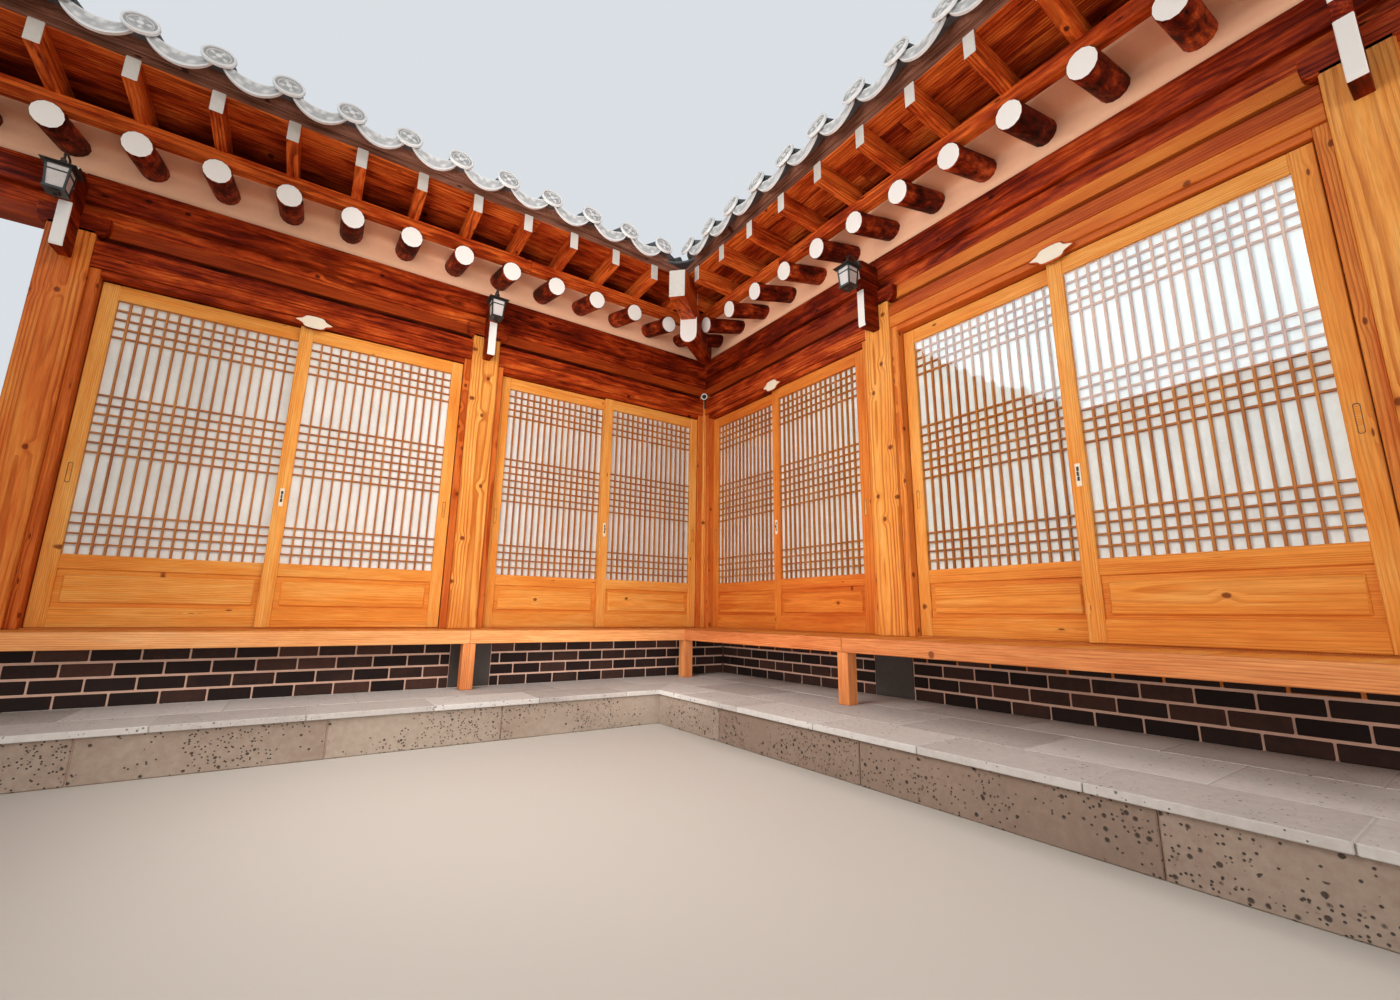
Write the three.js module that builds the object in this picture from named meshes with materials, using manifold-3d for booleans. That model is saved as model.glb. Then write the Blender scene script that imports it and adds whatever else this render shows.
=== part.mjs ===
// A hanok: a one-storey timber house with a tiled roof, on an L-shaped plan.
// Two wings meet at an inner courtyard corner. The origin is that corner, where the two rows of
// sliding doors meet, at ground level. Millimetres, +Z up. The back wing runs towards -X with its
// doors facing -Y, and the side wing runs towards -Y with its doors facing -X.
// Each wing is drawn as the back wing: x along it, negative away from the corner, and y across it.
// The side wing is the same drawing with x and y exchanged.
import * as THREE from "three";
import { mergeVertices } from "three/addons/utils/BufferGeometryUtils.js";
import Module from "manifold-3d";

const wasm = await Module();
wasm.setup();

// Gap between pieces that touch
const fit = 0.3;

// Plan
const postSize = 210;
const postCentre = 65;
const wingDepth = 3030;
const innerPostX = -2225;
const backEndX = -4642;
const sideEndX = -4588;
const gableOverhang = 600;
const outerPost = postCentre + wingDepth;
const ridgeY = postCentre + wingDepth / 2;
const span = 2 * ridgeY;
const postFront = postCentre - postSize / 2;
const postBack = postCentre + postSize / 2;

// Levels
const plinthTop = 190;
const terraceTop = 220;
const footingTop = 450;
const floorTop = 600;
const jambTop = 2740;
const lintelTop = 2910;
const postTop = 2965;
const plateTop = 3150;
const purlinTop = 3330;

// Stone base and terrace
const terraceFront = 1150;
const terraceBack = 560;
const terraceEnd = 450;
const capOverhang = 20;
const footingInset = 30;

// Brick wall under the front of the back wing's veranda
const brickFront = -390;
const brickEnd = -42;
const brickTop = 512;

// Sliding doors
const jambWidth = 50;
const jambFront = -15;
const jambBack = 100;
const leafThickness = 36;
const trackGap = 10;
const leafBottom = 608;
const leafTop = 2690;
const leafOverlap = 80;
const leafEndGap = 5;
const stileWidth = 80;
const topRail = 98;
const latticeBottom = 1010;
const paperThickness = 8;
const railWidth = 10;

// Veranda
const maruDepth = 590;
const maruBoard = 35;
const maruBeamHeight = 85;
const maruBeamWidth = 90;
const legSize = 80;

// Beams over the doors
const lintelFront = -30;
const lintelBack = 150;
const headFrameHeight = 40;
const recessFront = 40;
const plateFront = 15;
const plateBack = 135;
const purlinFront = -30;
const purlinBack = 165;
const seatFront = 10;
const seatBack = 120;

// Beam ends that stand out of the posts
const bracketWidth = 60;
const bracketBottom = 2740;
const bracketTop = 3005;
const bracketReach = 160;
const headWidth = 56;
const headTop = 3250;
const headReach = 200;

// Block across the top of each post
const blockHalf = 155;
const blockBottom = 2941;
const blockTop = 3060;
const blockCurve = 60;

// Round rafters
const rafterRadius = 72.5;
const rafterSides = 10;
const rafterSlope = 0.27;
const rafterEndY = -428;
const rafterEndZ = 3378;
const rafterInnerY = 830;
const backRafters = { first: -350, pitch: 364 };
const sideRafters = { first: -262, pitch: 354 };
const deckBottom = 65;
const deckTop = 100;
const eaveBoardFront = -430;
const eaveBoardBack = -355;
const valleyWidth = 160;
const flyValleyWidth = 135;
const hipRafterWidth = 180;
const flyHipWidth = 150;

// Flying rafters
const flyEndY = -776;
const flyBottom = 3530;
const flyHeight = 133;
const flyWidth = 63;
const flySlope = -0.03;
const flyDeckFront = -765;
const flyDeckThickness = 20;
const tileBoardFront = -770;
const tileBoardBack = -705;
const tileBoardTop = 3770;

// Roof
const eaveY = -860;
const eaveTop = 3790;
const eaveBottom = 3712;
const roofSlope = 0.4;
const roofCurve = 5.08e-5;
const upperSlope = 0.85;
const roofSteps = 7;

// Tiles: rows of round tiles, and the surface of the hollow tiles between them
const backTilePitch = 326;
const sideTilePitch = 300;
const tileRowX = -412;
const tileRowHalf = 73;
const tileRowHeight = 60;
const hollowDepth = 40;
const valleyOpening = 120;

// Ridges, hip, verges and barge boards
const ridgeWidth = 260;
const ridgeHeight = 330;
const hipWidth = 220;
const hipHeight = 250;
const vergeWidth = 200;
const vergeHeight = 210;
const vergeInset = 90;
const ridgeSink = 150;
const bargeThickness = 40;
const bargeDepth = 330;

// Frame inside the roof
const beamWidth = 180;
const beamTop = 3215;
const ridgePurlinWidth = 180;
const ridgePurlinHeight = 208;
const kingPostSize = 120;

// Walls on the street sides
const wallThickness = 100;
const windowWidth = 840;
const windowBottom = 1500;
const windowTop = 2150;
const windowFrame = 60;
const windowThickness = 50;

// Lanterns
const lanternSize = 100;
const lanternHeight = 140;
const lanternReach = 105;
const lanternDrop = 265;
const lanternCapRadius = 85;
const lanternCapHeight = 45;
const lanternKnobHeight = 30;
const lanternArm = 16;
const lanternPlate = [52, 75, 8];

// Larger than the house, for cutting
const far = 12000;

const materials = {
  pine: { color: 0xd98a45, roughness: 0.55, metalness: 0 },
  stained: { color: 0x7a2f12, roughness: 0.5, metalness: 0 },
  stone: { color: 0x77746f, roughness: 0.85, metalness: 0 },
  plaster: { color: 0xe6cdb8, roughness: 0.8, metalness: 0 },
  tile: { color: 0x4d4f52, roughness: 0.7, metalness: 0 },
  floor: { color: 0xd9b878, roughness: 0.5, metalness: 0 },
  iron: { color: 0x1c1c1e, roughness: 0.45, metalness: 0.6 },
};

// Shapes

function box(x0, x1, y0, y1, z0, z1) {
  const shape = new THREE.BoxGeometry(x1 - x0, y1 - y0, z1 - z0);
  return solid(shape.translate((x0 + x1) / 2, (y0 + y1) / 2, (z0 + z1) / 2));
}

function outlineShape(points) {
  return new THREE.Shape(points.map(([u, v]) => new THREE.Vector2(u, v)));
}

function extrude(shape, depth, steps = 1) {
  return new THREE.ExtrudeGeometry(shape, { depth, steps, bevelEnabled: false, curveSegments: 5 });
}

// An outline in y and z, drawn out along x
function alongX(points, x0, x1) {
  const turn = new THREE.Matrix4().makeBasis(
    new THREE.Vector3(0, 1, 0),
    new THREE.Vector3(0, 0, 1),
    new THREE.Vector3(1, 0, 0),
  );
  const shape = points instanceof THREE.Shape ? points : outlineShape(points);
  return solid(extrude(shape, x1 - x0).applyMatrix4(turn).translate(x0, 0, 0));
}

// An outline in x and z, drawn out along y, in steps that can be lifted to follow a slope
function alongY(points, y0, y1, steps = 1, lift = () => 0) {
  const turn = new THREE.Matrix4().makeBasis(
    new THREE.Vector3(1, 0, 0),
    new THREE.Vector3(0, 0, 1),
    new THREE.Vector3(0, -1, 0),
  );
  const shape = points instanceof THREE.Shape ? points : outlineShape(points);
  const geometry = extrude(shape, y1 - y0, steps).applyMatrix4(turn).translate(0, y1, 0);
  const place = geometry.attributes.position;
  for (let i = 0; i < place.count; i += 1) place.setZ(i, place.getZ(i) + lift(place.getY(i)));
  return solid(geometry);
}

// An outline in plan, drawn up from z0 to z1
function upright(points, z0, z1, hole) {
  const shape = outlineShape(points);
  if (hole) shape.holes.push(outlineShape(hole));
  return solid(extrude(shape, z1 - z0).translate(0, 0, z0));
}

// An outline in the upright plane x = y: first number is x (and y), second is z
function alongDiagonal(points, width) {
  const half = Math.SQRT1_2;
  const turn = new THREE.Matrix4().makeBasis(
    new THREE.Vector3(half, half, 0),
    new THREE.Vector3(0, 0, 1),
    new THREE.Vector3(half, -half, 0),
  );
  const shape = outlineShape(points.map(([u, v]) => [u * Math.SQRT2, v]));
  return solid(extrude(shape, width).translate(0, 0, -width / 2).applyMatrix4(turn));
}

function solid(geometry) {
  geometry.deleteAttribute("normal");
  geometry.deleteAttribute("uv");
  const merged = mergeVertices(geometry, 1e-4);
  return new wasm.Manifold(
    new wasm.Mesh({
      numProp: 3,
      vertProperties: new Float32Array(merged.attributes.position.array),
      triVerts: new Uint32Array(merged.index.array),
    }),
  );
}

function join(pieces) {
  return pieces.reduce((whole, piece) => whole.add(piece));
}

function cut(whole, pieces) {
  return pieces.reduce((rest, piece) => rest.subtract(piece), whole);
}

function meshOf(name, made, look) {
  const { vertProperties, triVerts } = made.getMesh();
  const geometry = new THREE.BufferGeometry();
  geometry.setAttribute("position", new THREE.BufferAttribute(vertProperties, 3));
  geometry.setIndex(new THREE.BufferAttribute(triVerts, 1));
  geometry.computeVertexNormals();
  const mesh = new THREE.Mesh(geometry, new THREE.MeshStandardMaterial(materials[look]));
  mesh.name = name;
  return mesh;
}

// Everything on one side of the mitre between the wings: 1 is the side wing, -1 the back wing
function acrossMitre(side, gap = -1) {
  const g = gap * side;
  return upright([[-far + g, -far], [far + g, far], [side * far + g, -side * far]], -far, far);
}

function mitred(piece, gap = fit / 2) {
  return piece.intersect(acrossMitre(-1, gap));
}

// The same outline on the street side of the ridge
function mirrored(points) {
  return points.map(([y, z]) => [span - y, z]).reverse();
}

// Roof lines, as heights over y on the courtyard side

function rafterZ(y) {
  return rafterEndZ + rafterSlope * (y - rafterEndY);
}

function roofTop(y) {
  const s = Math.min(y, span - y) - eaveY;
  return eaveTop + roofSlope * s + roofCurve * s * s;
}

function flyTop(y) {
  return flyBottom + flyHeight + flySlope * (y - flyEndY);
}

function flyDeckTop(y) {
  return flyTop(y) + flyDeckThickness;
}

// Where the deck on the flying rafters runs into the deck on the round rafters
const flyDeckBack = (flyDeckTop(0) - rafterZ(0) - deckTop) / (rafterSlope - flySlope);
const kneeZ = rafterZ(rafterInnerY) + deckTop;

function roofUnder(y) {
  const inner = Math.min(y, span - y);
  return kneeZ + fit + upperSlope * (inner - rafterInnerY);
}

// The hollow tiles from the courtyard eave up to the ridge
function roofSurface() {
  const top = [];
  for (let i = 0; i <= roofSteps; i += 1) {
    const y = eaveY + ((ridgeY - eaveY) * i) / roofSteps;
    top.push([y, roofTop(y) - hollowDepth]);
  }
  return top;
}

function roofOutline() {
  const top = roofSurface();
  const under = [
    [eaveY, eaveBottom],
    [tileBoardFront, tileBoardTop + fit],
    [tileBoardBack + fit, tileBoardTop + fit],
    [tileBoardBack + fit, flyDeckTop(tileBoardBack) + fit],
    [flyDeckBack, flyDeckTop(flyDeckBack) + fit],
    [rafterInnerY, kneeZ + fit],
    [ridgeY, roofUnder(ridgeY)],
  ];
  const half = [...top.slice(0, -1).reverse(), ...under];
  const other = mirrored(half.slice(0, -1));
  return [top[roofSteps], ...half, ...other];
}

// One row of round tiles, up the courtyard slope
function tileRow(x) {
  const half = [
    [tileRowHalf, -hollowDepth - 10],
    [tileRowHalf * 0.9, tileRowHeight * 0.4],
    [tileRowHalf * 0.4, tileRowHeight],
  ];
  const section = [...half, ...half.map(([u, v]) => [-u, v]).reverse()].map(([u, v]) => [x + u, v]);
  return alongY(section, eaveY, ridgeY, roofSteps, roofTop);
}

// The rows of both slopes, stopping at the ridge, the verge, the valley and the hip
function tileRows(gableX, pitch) {
  const vergeEdge = gableX + vergeInset + vergeWidth + fit;
  const rows = (lastX) => {
    const count = Math.floor((lastX - vergeEdge) / pitch) + 1;
    const first = tileRowX + pitch * Math.floor((lastX - tileRowX) / pitch);
    return join(Array.from({ length: count }, (_, k) => tileRow(first - k * pitch)));
  };
  const reach = span - eaveY;
  const across = [ridgeY - ridgeWidth / 2 - fit, ridgeY + ridgeWidth / 2 + fit];
  const diagonal = (from, to) => [[from, 0], [to, 0], [to, far], [from, far]];
  return cut(join([rows(ridgeY), rows(reach).mirror([0, 1, 0]).translate([0, span, 0])]), [
    box(-far, far, ...across, 0, far),
    box(-far, vergeEdge, -far, far, 0, far),
    alongDiagonal(diagonal(-reach, ridgeY), valleyOpening),
    alongDiagonal(diagonal(ridgeY, far), hipWidth + 2 * fit),
  ]);
}

function tiledRoof(gableX, pitch) {
  return mitred(join([alongX(roofOutline(), gableX, far), tileRows(gableX, pitch)]));
}

// Pieces of one wing

function doorZones(endX) {
  const clear = (from, to) => [to + postSize / 2 + jambWidth, from - postSize / 2 - jambWidth];
  return [clear(postCentre, innerPostX), clear(innerPostX, endX)].map(([x0, x1]) => ({ x0, x1 }));
}

function courtSill(endX) {
  const x0 = endX - postSize / 2;
  const pieces = [mitred(box(x0, postBack, postFront, postBack, footingTop + fit, floorTop))];
  for (const zone of doorZones(endX)) {
    for (const y of [leafThickness / 2, leafThickness * 1.5 + trackGap]) {
      const rail = [y - railWidth / 2, y + railWidth / 2, floorTop - 1, leafBottom - fit];
      pieces.push(box(zone.x0 + 1, zone.x1 - 1, ...rail));
    }
  }
  return join(pieces);
}

function jamb(x0, x1) {
  return box(x0, x1, jambFront, jambBack, floorTop + fit, jambTop - fit);
}

// The bracket and rounded beam end, pointing to the courtyard
function beamEnd(x) {
  const bracket = [
    [postFront + 5, bracketBottom + 12],
    [postFront + 5, bracketTop],
    [postFront - bracketReach, bracketTop],
    [postFront - bracketReach, bracketBottom + 30],
    [postFront - bracketReach + 22, bracketBottom],
  ];
  const front = postFront - headReach;
  const nose = new THREE.Shape();
  nose.moveTo(purlinFront - fit, bracketTop - 1);
  nose.lineTo(purlinFront - fit, headTop);
  nose.lineTo(front + 40, headTop);
  nose.quadraticCurveTo(front, headTop, front, headTop - 60);
  nose.quadraticCurveTo(front, bracketTop + 60, front + 45, bracketTop - 1);
  nose.closePath();
  return join([
    alongX(bracket.reverse(), x - bracketWidth / 2, x + bracketWidth / 2),
    alongX(nose, x - headWidth / 2, x + headWidth / 2),
  ]);
}

function headBlock(x) {
  const shape = new THREE.Shape();
  shape.moveTo(x - blockHalf + blockCurve, blockBottom);
  shape.lineTo(x + blockHalf - blockCurve, blockBottom);
  shape.quadraticCurveTo(x + blockHalf, blockBottom, x + blockHalf, blockBottom + blockCurve);
  shape.lineTo(x + blockHalf, blockTop);
  shape.lineTo(x - blockHalf, blockTop);
  shape.lineTo(x - blockHalf, blockBottom + blockCurve);
  shape.quadraticCurveTo(x - blockHalf, blockBottom, x - blockHalf + blockCurve, blockBottom);
  return alongY(shape, postFront, plateFront - fit);
}

function courtPost(x, sides) {
  const half = postSize / 2;
  const post = box(x - half, x + half, postFront, postBack, floorTop + fit, postTop);
  const pieces = [post, beamEnd(x), headBlock(x)];
  if (sides.includes("near")) pieces.push(jamb(x + half - 1, x + half + jambWidth));
  if (sides.includes("far")) pieces.push(jamb(x - half - jambWidth, x - half + 1));
  return join(pieces);
}

function lintel(zone) {
  const x0 = zone.x0 - jambWidth + fit;
  const x1 = zone.x1 + jambWidth - fit;
  return join([
    box(x0, x1, lintelFront, lintelBack, jambTop, lintelTop),
    box(zone.x0 + fit, zone.x1 - fit, jambFront, jambBack, jambTop - headFrameHeight, jambTop + 1),
    box(x0, x1, recessFront, lintelBack - 10, lintelTop - 1, postTop),
  ]);
}

function leafWidth(zone) {
  return (zone.x1 - zone.x0 - 2 * leafEndGap + leafOverlap) / 2;
}

function leaf(zone, atCorner, inFront) {
  const width = leafWidth(zone);
  const x0 = atCorner ? zone.x1 - leafEndGap - width : zone.x0 + leafEndGap;
  const y0 = inFront ? 0 : leafThickness + trackGap;
  const paper = (leafThickness - paperThickness) / 2;
  const opening = (from, to) =>
    box(x0 + stileWidth, x0 + width - stileWidth, from, to, latticeBottom, leafTop - topRail);
  return cut(box(x0, x0 + width, y0, y0 + leafThickness, leafBottom, leafTop), [
    opening(y0 - 1, y0 + paper),
    opening(y0 + leafThickness - paper, y0 + leafThickness + 1),
  ]);
}

function maru(endX) {
  const x0 = endX - postSize / 2;
  const back = postFront - fit;
  const beamTopZ = floorTop - maruBoard + 1;
  const beamBottom = floorTop - maruBeamHeight;
  const bearerWidth = 80;
  const pieces = [
    box(x0, 0, -maruDepth, back, floorTop - maruBoard, floorTop),
    box(x0, 0, -maruDepth, maruBeamWidth - maruDepth, beamBottom, beamTopZ),
    box(x0, 0, back - bearerWidth, back, beamBottom, beamTopZ),
  ];
  for (const x of [-maruDepth + legSize, innerPostX - 20, x0 + legSize]) {
    pieces.push(box(x - legSize, x, -maruDepth, legSize - maruDepth, terraceTop + fit, beamBottom + 1));
  }
  return mitred(join(pieces));
}

function purlinOutline() {
  const seat = (y) => rafterZ(y) - rafterRadius * Math.hypot(1, rafterSlope) - fit;
  return [
    [plateFront, postTop + fit],
    [plateBack, postTop + fit],
    [plateBack, plateTop],
    [purlinBack, plateTop],
    [purlinBack, purlinTop],
    [seatBack, purlinTop],
    [seatBack, seat(seatBack)],
    [seatFront, seat(seatFront)],
    [seatFront, purlinTop],
    [purlinFront, purlinTop],
    [purlinFront, plateTop],
    [plateFront, plateTop],
  ];
}

// Rafters, flying rafters and the boards on them, drawn for the courtyard side
function eaves(gableX, side, rafters) {
  const turn = side === "outer" ? mirrored : (points) => points;
  const length = (rafterInnerY - rafterEndY) * Math.hypot(1, rafterSlope);
  const lean = Math.atan(rafterSlope);
  const lastX = side === "outer" ? span - flyEndY : 0;
  const deck = (points) => alongX(turn(points), gableX, lastX);
  const pieces = [
    deck([
      [rafterEndY, rafterZ(rafterEndY) + deckBottom],
      [rafterInnerY - fit, rafterZ(rafterInnerY) + deckBottom],
      [rafterInnerY - fit, rafterZ(rafterInnerY) + deckTop],
      [rafterEndY, rafterZ(rafterEndY) + deckTop],
    ]),
    deck([
      [eaveBoardFront, rafterEndZ + deckBottom - 5],
      [eaveBoardBack, rafterEndZ + deckBottom - 5],
      [eaveBoardBack, flyBottom],
      [eaveBoardFront, flyBottom],
    ]),
    deck([
      [flyDeckFront, flyTop(flyDeckFront) - 8],
      [flyDeckBack, flyTop(flyDeckBack) - 8],
      [flyDeckBack, flyDeckTop(flyDeckBack)],
      [flyDeckFront, flyDeckTop(flyDeckFront)],
    ]),
    deck([
      [tileBoardFront, flyTop(tileBoardFront) - 4],
      [tileBoardBack, flyTop(tileBoardBack) - 4],
      [tileBoardBack, tileBoardTop],
      [tileBoardFront, tileBoardTop],
    ]),
  ];
  const first = side === "outer" ? rafters.first + 10 * rafters.pitch : rafters.first;
  for (let x = first; x > gableX + rafterRadius; x -= rafters.pitch) {
    const log = new THREE.CylinderGeometry(rafterRadius, rafterRadius, length, rafterSides);
    const y = (rafterEndY + rafterInnerY) / 2;
    log.rotateX(side === "outer" ? -lean : lean);
    log.translate(x, side === "outer" ? span - y : y, rafterZ(y));
    pieces.push(solid(log));
    const fly = [
      [flyEndY, flyBottom],
      [eaveBoardBack + 60, flyBottom + flySlope * (eaveBoardBack + 60 - flyEndY)],
      [100, flyTop(100)],
      [flyEndY, flyTop(flyEndY)],
    ];
    pieces.push(alongX(turn(fly), x - flyWidth / 2, x + flyWidth / 2));
  }
  return mitred(join(pieces));
}

function roofFrame(endX, gableX) {
  const half = beamWidth / 2;
  const top = roofUnder(ridgeY - ridgePurlinWidth / 2) - 1;
  const purlinY = [ridgeY - ridgePurlinWidth / 2, ridgeY + ridgePurlinWidth / 2];
  const pieces = [box(gableX + 40, far, ...purlinY, top - ridgePurlinHeight, top)];
  for (const x of [innerPostX, postCentre]) {
    const inner = plateBack + fit;
    pieces.push(box(x - half, x + half, inner, span - inner, postTop + fit, plateTop - fit));
    pieces.push(box(x - half, x + half, purlinBack + fit, span - purlinBack - fit, plateTop - 10, beamTop));
    const foot = [ridgeY - kingPostSize / 2, ridgeY + kingPostSize / 2];
    pieces.push(box(x - kingPostSize / 2, x + kingPostSize / 2, ...foot, beamTop - 5, top - 5));
  }
  return mitred(join(pieces));
}

function windowCentres(endX) {
  return [(innerPostX + postCentre) / 2, (innerPostX + endX) / 2];
}

function outerWall(endX) {
  const half = postSize / 2;
  const face = wallThickness / 2;
  const x0 = endX - half;
  const pieces = [box(x0, far, outerPost - face, outerPost + face, footingTop + fit, postTop)];
  for (const x of [endX, innerPostX, postCentre, outerPost]) {
    pieces.push(box(x - half, x + half, outerPost - half, outerPost + half, footingTop + fit, postTop));
  }
  const holes = windowCentres(endX).map((x) => {
    const across = [x - windowWidth / 2, x + windowWidth / 2];
    return box(...across, outerPost - half, outerPost + half, windowBottom, windowTop);
  });
  return mitred(cut(join(pieces), holes));
}

function outerWindow(x) {
  const half = windowWidth / 2 - fit;
  const y0 = outerPost - windowThickness / 2;
  const y1 = outerPost + windowThickness / 2;
  const paper = (windowThickness - paperThickness) / 2;
  const across = [x - half + windowFrame, x + half - windowFrame];
  const rise = [windowBottom + windowFrame, windowTop - windowFrame];
  const pane = (from, to) => box(...across, from, to, ...rise);
  return cut(box(x - half, x + half, y0, y1, windowBottom + fit, windowTop - fit), [
    pane(y0 - 1, y0 + paper),
    pane(y1 - paper, y1 + 1),
  ]);
}

// The end wall and the gable above it, notched for the ridge purlin
function endWall(endX) {
  const y0 = postBack + fit;
  const underRafters = (y) => rafterZ(y) - rafterRadius * Math.hypot(1, rafterSlope) - 2;
  const inner = rafterInnerY + 25;
  const notch = ridgeY - ridgePurlinWidth / 2 - fit;
  const notchZ = roofUnder(ridgeY - ridgePurlinWidth / 2) - 1 - ridgePurlinHeight - fit;
  const half = [
    [y0, footingTop + fit],
    [y0, underRafters(y0)],
    [inner, underRafters(inner)],
    [inner, roofUnder(inner) - 2 * fit],
    [notch, roofUnder(notch) - 2 * fit],
    [notch, notchZ],
  ];
  return alongX([...half, ...mirrored(half)], endX - wallThickness / 2, endX + wallThickness / 2);
}

function bargeBoard(gableX) {
  const top = [];
  const bottom = [];
  for (let i = 0; i <= 2 * roofSteps; i += 1) {
    const y = eaveY + 25 + ((span - 2 * eaveY - 50) * i) / (2 * roofSteps);
    const depth = bargeDepth * (0.45 + 0.55 * Math.min(1, (Math.min(y, span - y) - eaveY) / 500));
    top.push([y, roofTop(y) - 20]);
    bottom.push([y, roofTop(y) - depth]);
  }
  return alongX([...bottom, ...top.reverse()], gableX - bargeThickness - fit, gableX - fit);
}

function lantern(x) {
  const back = postFront - headReach - fit;
  const y = back - lanternReach;
  const half = lanternSize / 2;
  const bottom = headTop - lanternDrop;
  const top = bottom + lanternHeight;
  const capTop = top + lanternCapHeight;
  const neck = lanternCapRadius / 5;
  const cap = new THREE.CylinderGeometry(neck, lanternCapRadius, lanternCapHeight, 4);
  const knob = new THREE.CylinderGeometry(neck / 2, neck, lanternKnobHeight, 8);
  const [plateWidth, plateHeight, plateDepth] = lanternPlate;
  const plateBottom = top + lanternCapHeight / 2;
  return join([
    box(x - half, x + half, y - half, y + half, bottom, top),
    solid(cap.rotateY(Math.PI / 4).rotateX(Math.PI / 2).translate(x, y, top + lanternCapHeight / 2 - 1)),
    solid(knob.rotateX(Math.PI / 2).translate(x, y, capTop + lanternKnobHeight / 2 - 2)),
    box(x - lanternArm / 2, x + lanternArm / 2, y, back, capTop + 6, capTop + 6 + lanternArm),
    box(x - plateWidth / 2, x + plateWidth / 2, back - plateDepth, back, plateBottom, plateBottom + plateHeight),
  ]);
}

// Ridges, hip and verges

// Everything under the tiles of both slopes, for cutting what lies on them
function underTiles() {
  const top = roofSurface().map(([y, z]) => [y, z + fit]);
  return [[eaveY, 0], ...top, ...mirrored(top.slice(0, -1)), [span - eaveY, 0]];
}

function roofCutter() {
  return mitred(alongX(underTiles(), -far, far), -1);
}

function ridge(gableX) {
  const apex = roofTop(ridgeY);
  const halfWidth = ridgeWidth / 2;
  const across = [ridgeY - halfWidth, ridgeY + halfWidth];
  const main = box(gableX, ridgeY + halfWidth, ...across, apex - ridgeSink, apex + ridgeHeight);
  const line = (lift) => {
    const points = [];
    for (let i = 0; i <= 2 * roofSteps; i += 1) {
      const y = eaveY + 60 + ((span - 2 * eaveY - 120) * i) / (2 * roofSteps);
      points.push([y, roofTop(y) + lift]);
    }
    return points;
  };
  const x0 = gableX + vergeInset;
  const verge = alongX([...line(-ridgeSink), ...line(vergeHeight).reverse()], x0, x0 + vergeWidth);
  return mitred(cut(join([main, verge]), [roofCutter()]));
}

function hipRidge() {
  const low = [];
  const high = [];
  const from = ridgeY + ridgeWidth / 2 + 2 * fit;
  for (let i = 0; i <= roofSteps; i += 1) {
    const y = from + ((span - eaveY - 60 - from) * i) / roofSteps;
    low.push([y, roofTop(y) - ridgeSink]);
    high.push([y, roofTop(y) + hipHeight]);
  }
  const piece = alongDiagonal([...low, ...high.reverse()], hipWidth);
  const other = alongY(underTiles(), -far, far).intersect(acrossMitre(1));
  return cut(piece, [roofCutter(), other]);
}

// Rafters on the diagonal

// The valley rafter under the inner corner, with its flying rafter on it
function valleyParts(gap) {
  const tip = -630;
  const flyTip = -973;
  const inner = 200;
  const under = (y) => rafterZ(y) + deckBottom - fit + gap / 2;
  const flyUnder = flyTop(flyDeckFront) - 8 - 2 * fit + gap / 2;
  const lower = [
    [tip - gap, 3140 - gap],
    [inner, 3140 + rafterSlope * (inner - tip) - gap],
    [inner, under(inner)],
    [tip - gap, under(tip)],
  ];
  const upper = [
    [flyTip - gap, 3312 - gap],
    [-600, 3370],
    [-440 + gap, 3400],
    [-440 + gap, flyUnder - 20],
    [-770, flyUnder],
    [flyTip - gap, 3552 + gap],
  ];
  return join([alongDiagonal(lower, valleyWidth + 2 * gap), alongDiagonal(upper, flyValleyWidth + 2 * gap)]);
}

function valleyRafter() {
  const back = [purlinFront - fit, far];
  const rise = [postTop, purlinTop + 300];
  return cut(valleyParts(0), [box(-far, far, ...back, ...rise), box(...back, -far, far, ...rise)]);
}

// The hip rafter under the outer corner
function hipParts(gap) {
  const at = (y) => span - y;
  const inner = rafterInnerY - 300;
  const under = (y) => rafterZ(y) + deckBottom - fit + gap / 2;
  const flyUnder = flyTop(flyDeckFront) - 8 - 2 * fit + gap / 2;
  const lower = [
    [at(inner) - gap, under(inner) - 190],
    [at(-560), 3140 - gap],
    [at(-600) + gap, 3200],
    [at(-600) + gap, under(-600)],
    [at(inner) - gap, under(inner)],
  ];
  const upper = [
    [at(-440) - gap, 3400],
    [at(-810), 3440 - gap],
    [at(-840) + gap, 3500],
    [at(-840) + gap, flyUnder - 4],
    [at(-440) - gap, flyUnder - 20],
  ];
  return join([alongDiagonal(lower, hipRafterWidth + 2 * gap), alongDiagonal(upper, flyHipWidth + 2 * gap)]);
}

// The purlins of both wings grown by the gap, where the hip rafter crosses them
function hipRafter() {
  const bands = [
    [plateFront, plateBack, postTop, plateTop],
    [purlinFront, purlinBack, plateTop, purlinTop],
    [seatFront, seatBack, purlinTop - 1, rafterZ(seatBack) - rafterRadius],
  ];
  const cutters = bands.flatMap(([y0, y1, z0, z1]) => {
    const across = [span - y1 - fit, span - y0 + fit];
    const rise = [z0 - fit, z1 + fit];
    return [box(-far, far, ...across, ...rise), box(...across, -far, far, ...rise)];
  });
  return cut(hipParts(0), cutters);
}

// Stone base, terrace and floor, for both wings at once

function planL(courtOffset, outerOffset, endOffset) {
  const court = -courtOffset;
  const outer = span + outerOffset;
  const backEnd = backEndX - endOffset;
  const sideEnd = sideEndX - endOffset;
  return [
    [backEnd, court],
    [court, court],
    [court, sideEnd],
    [outer, sideEnd],
    [outer, outer],
    [backEnd, outer],
  ];
}

const footingOffset = -(postFront + footingInset);
const footingEnd = postSize / 2 - footingInset;
const footing = planL(footingOffset, footingOffset, footingEnd);

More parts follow.
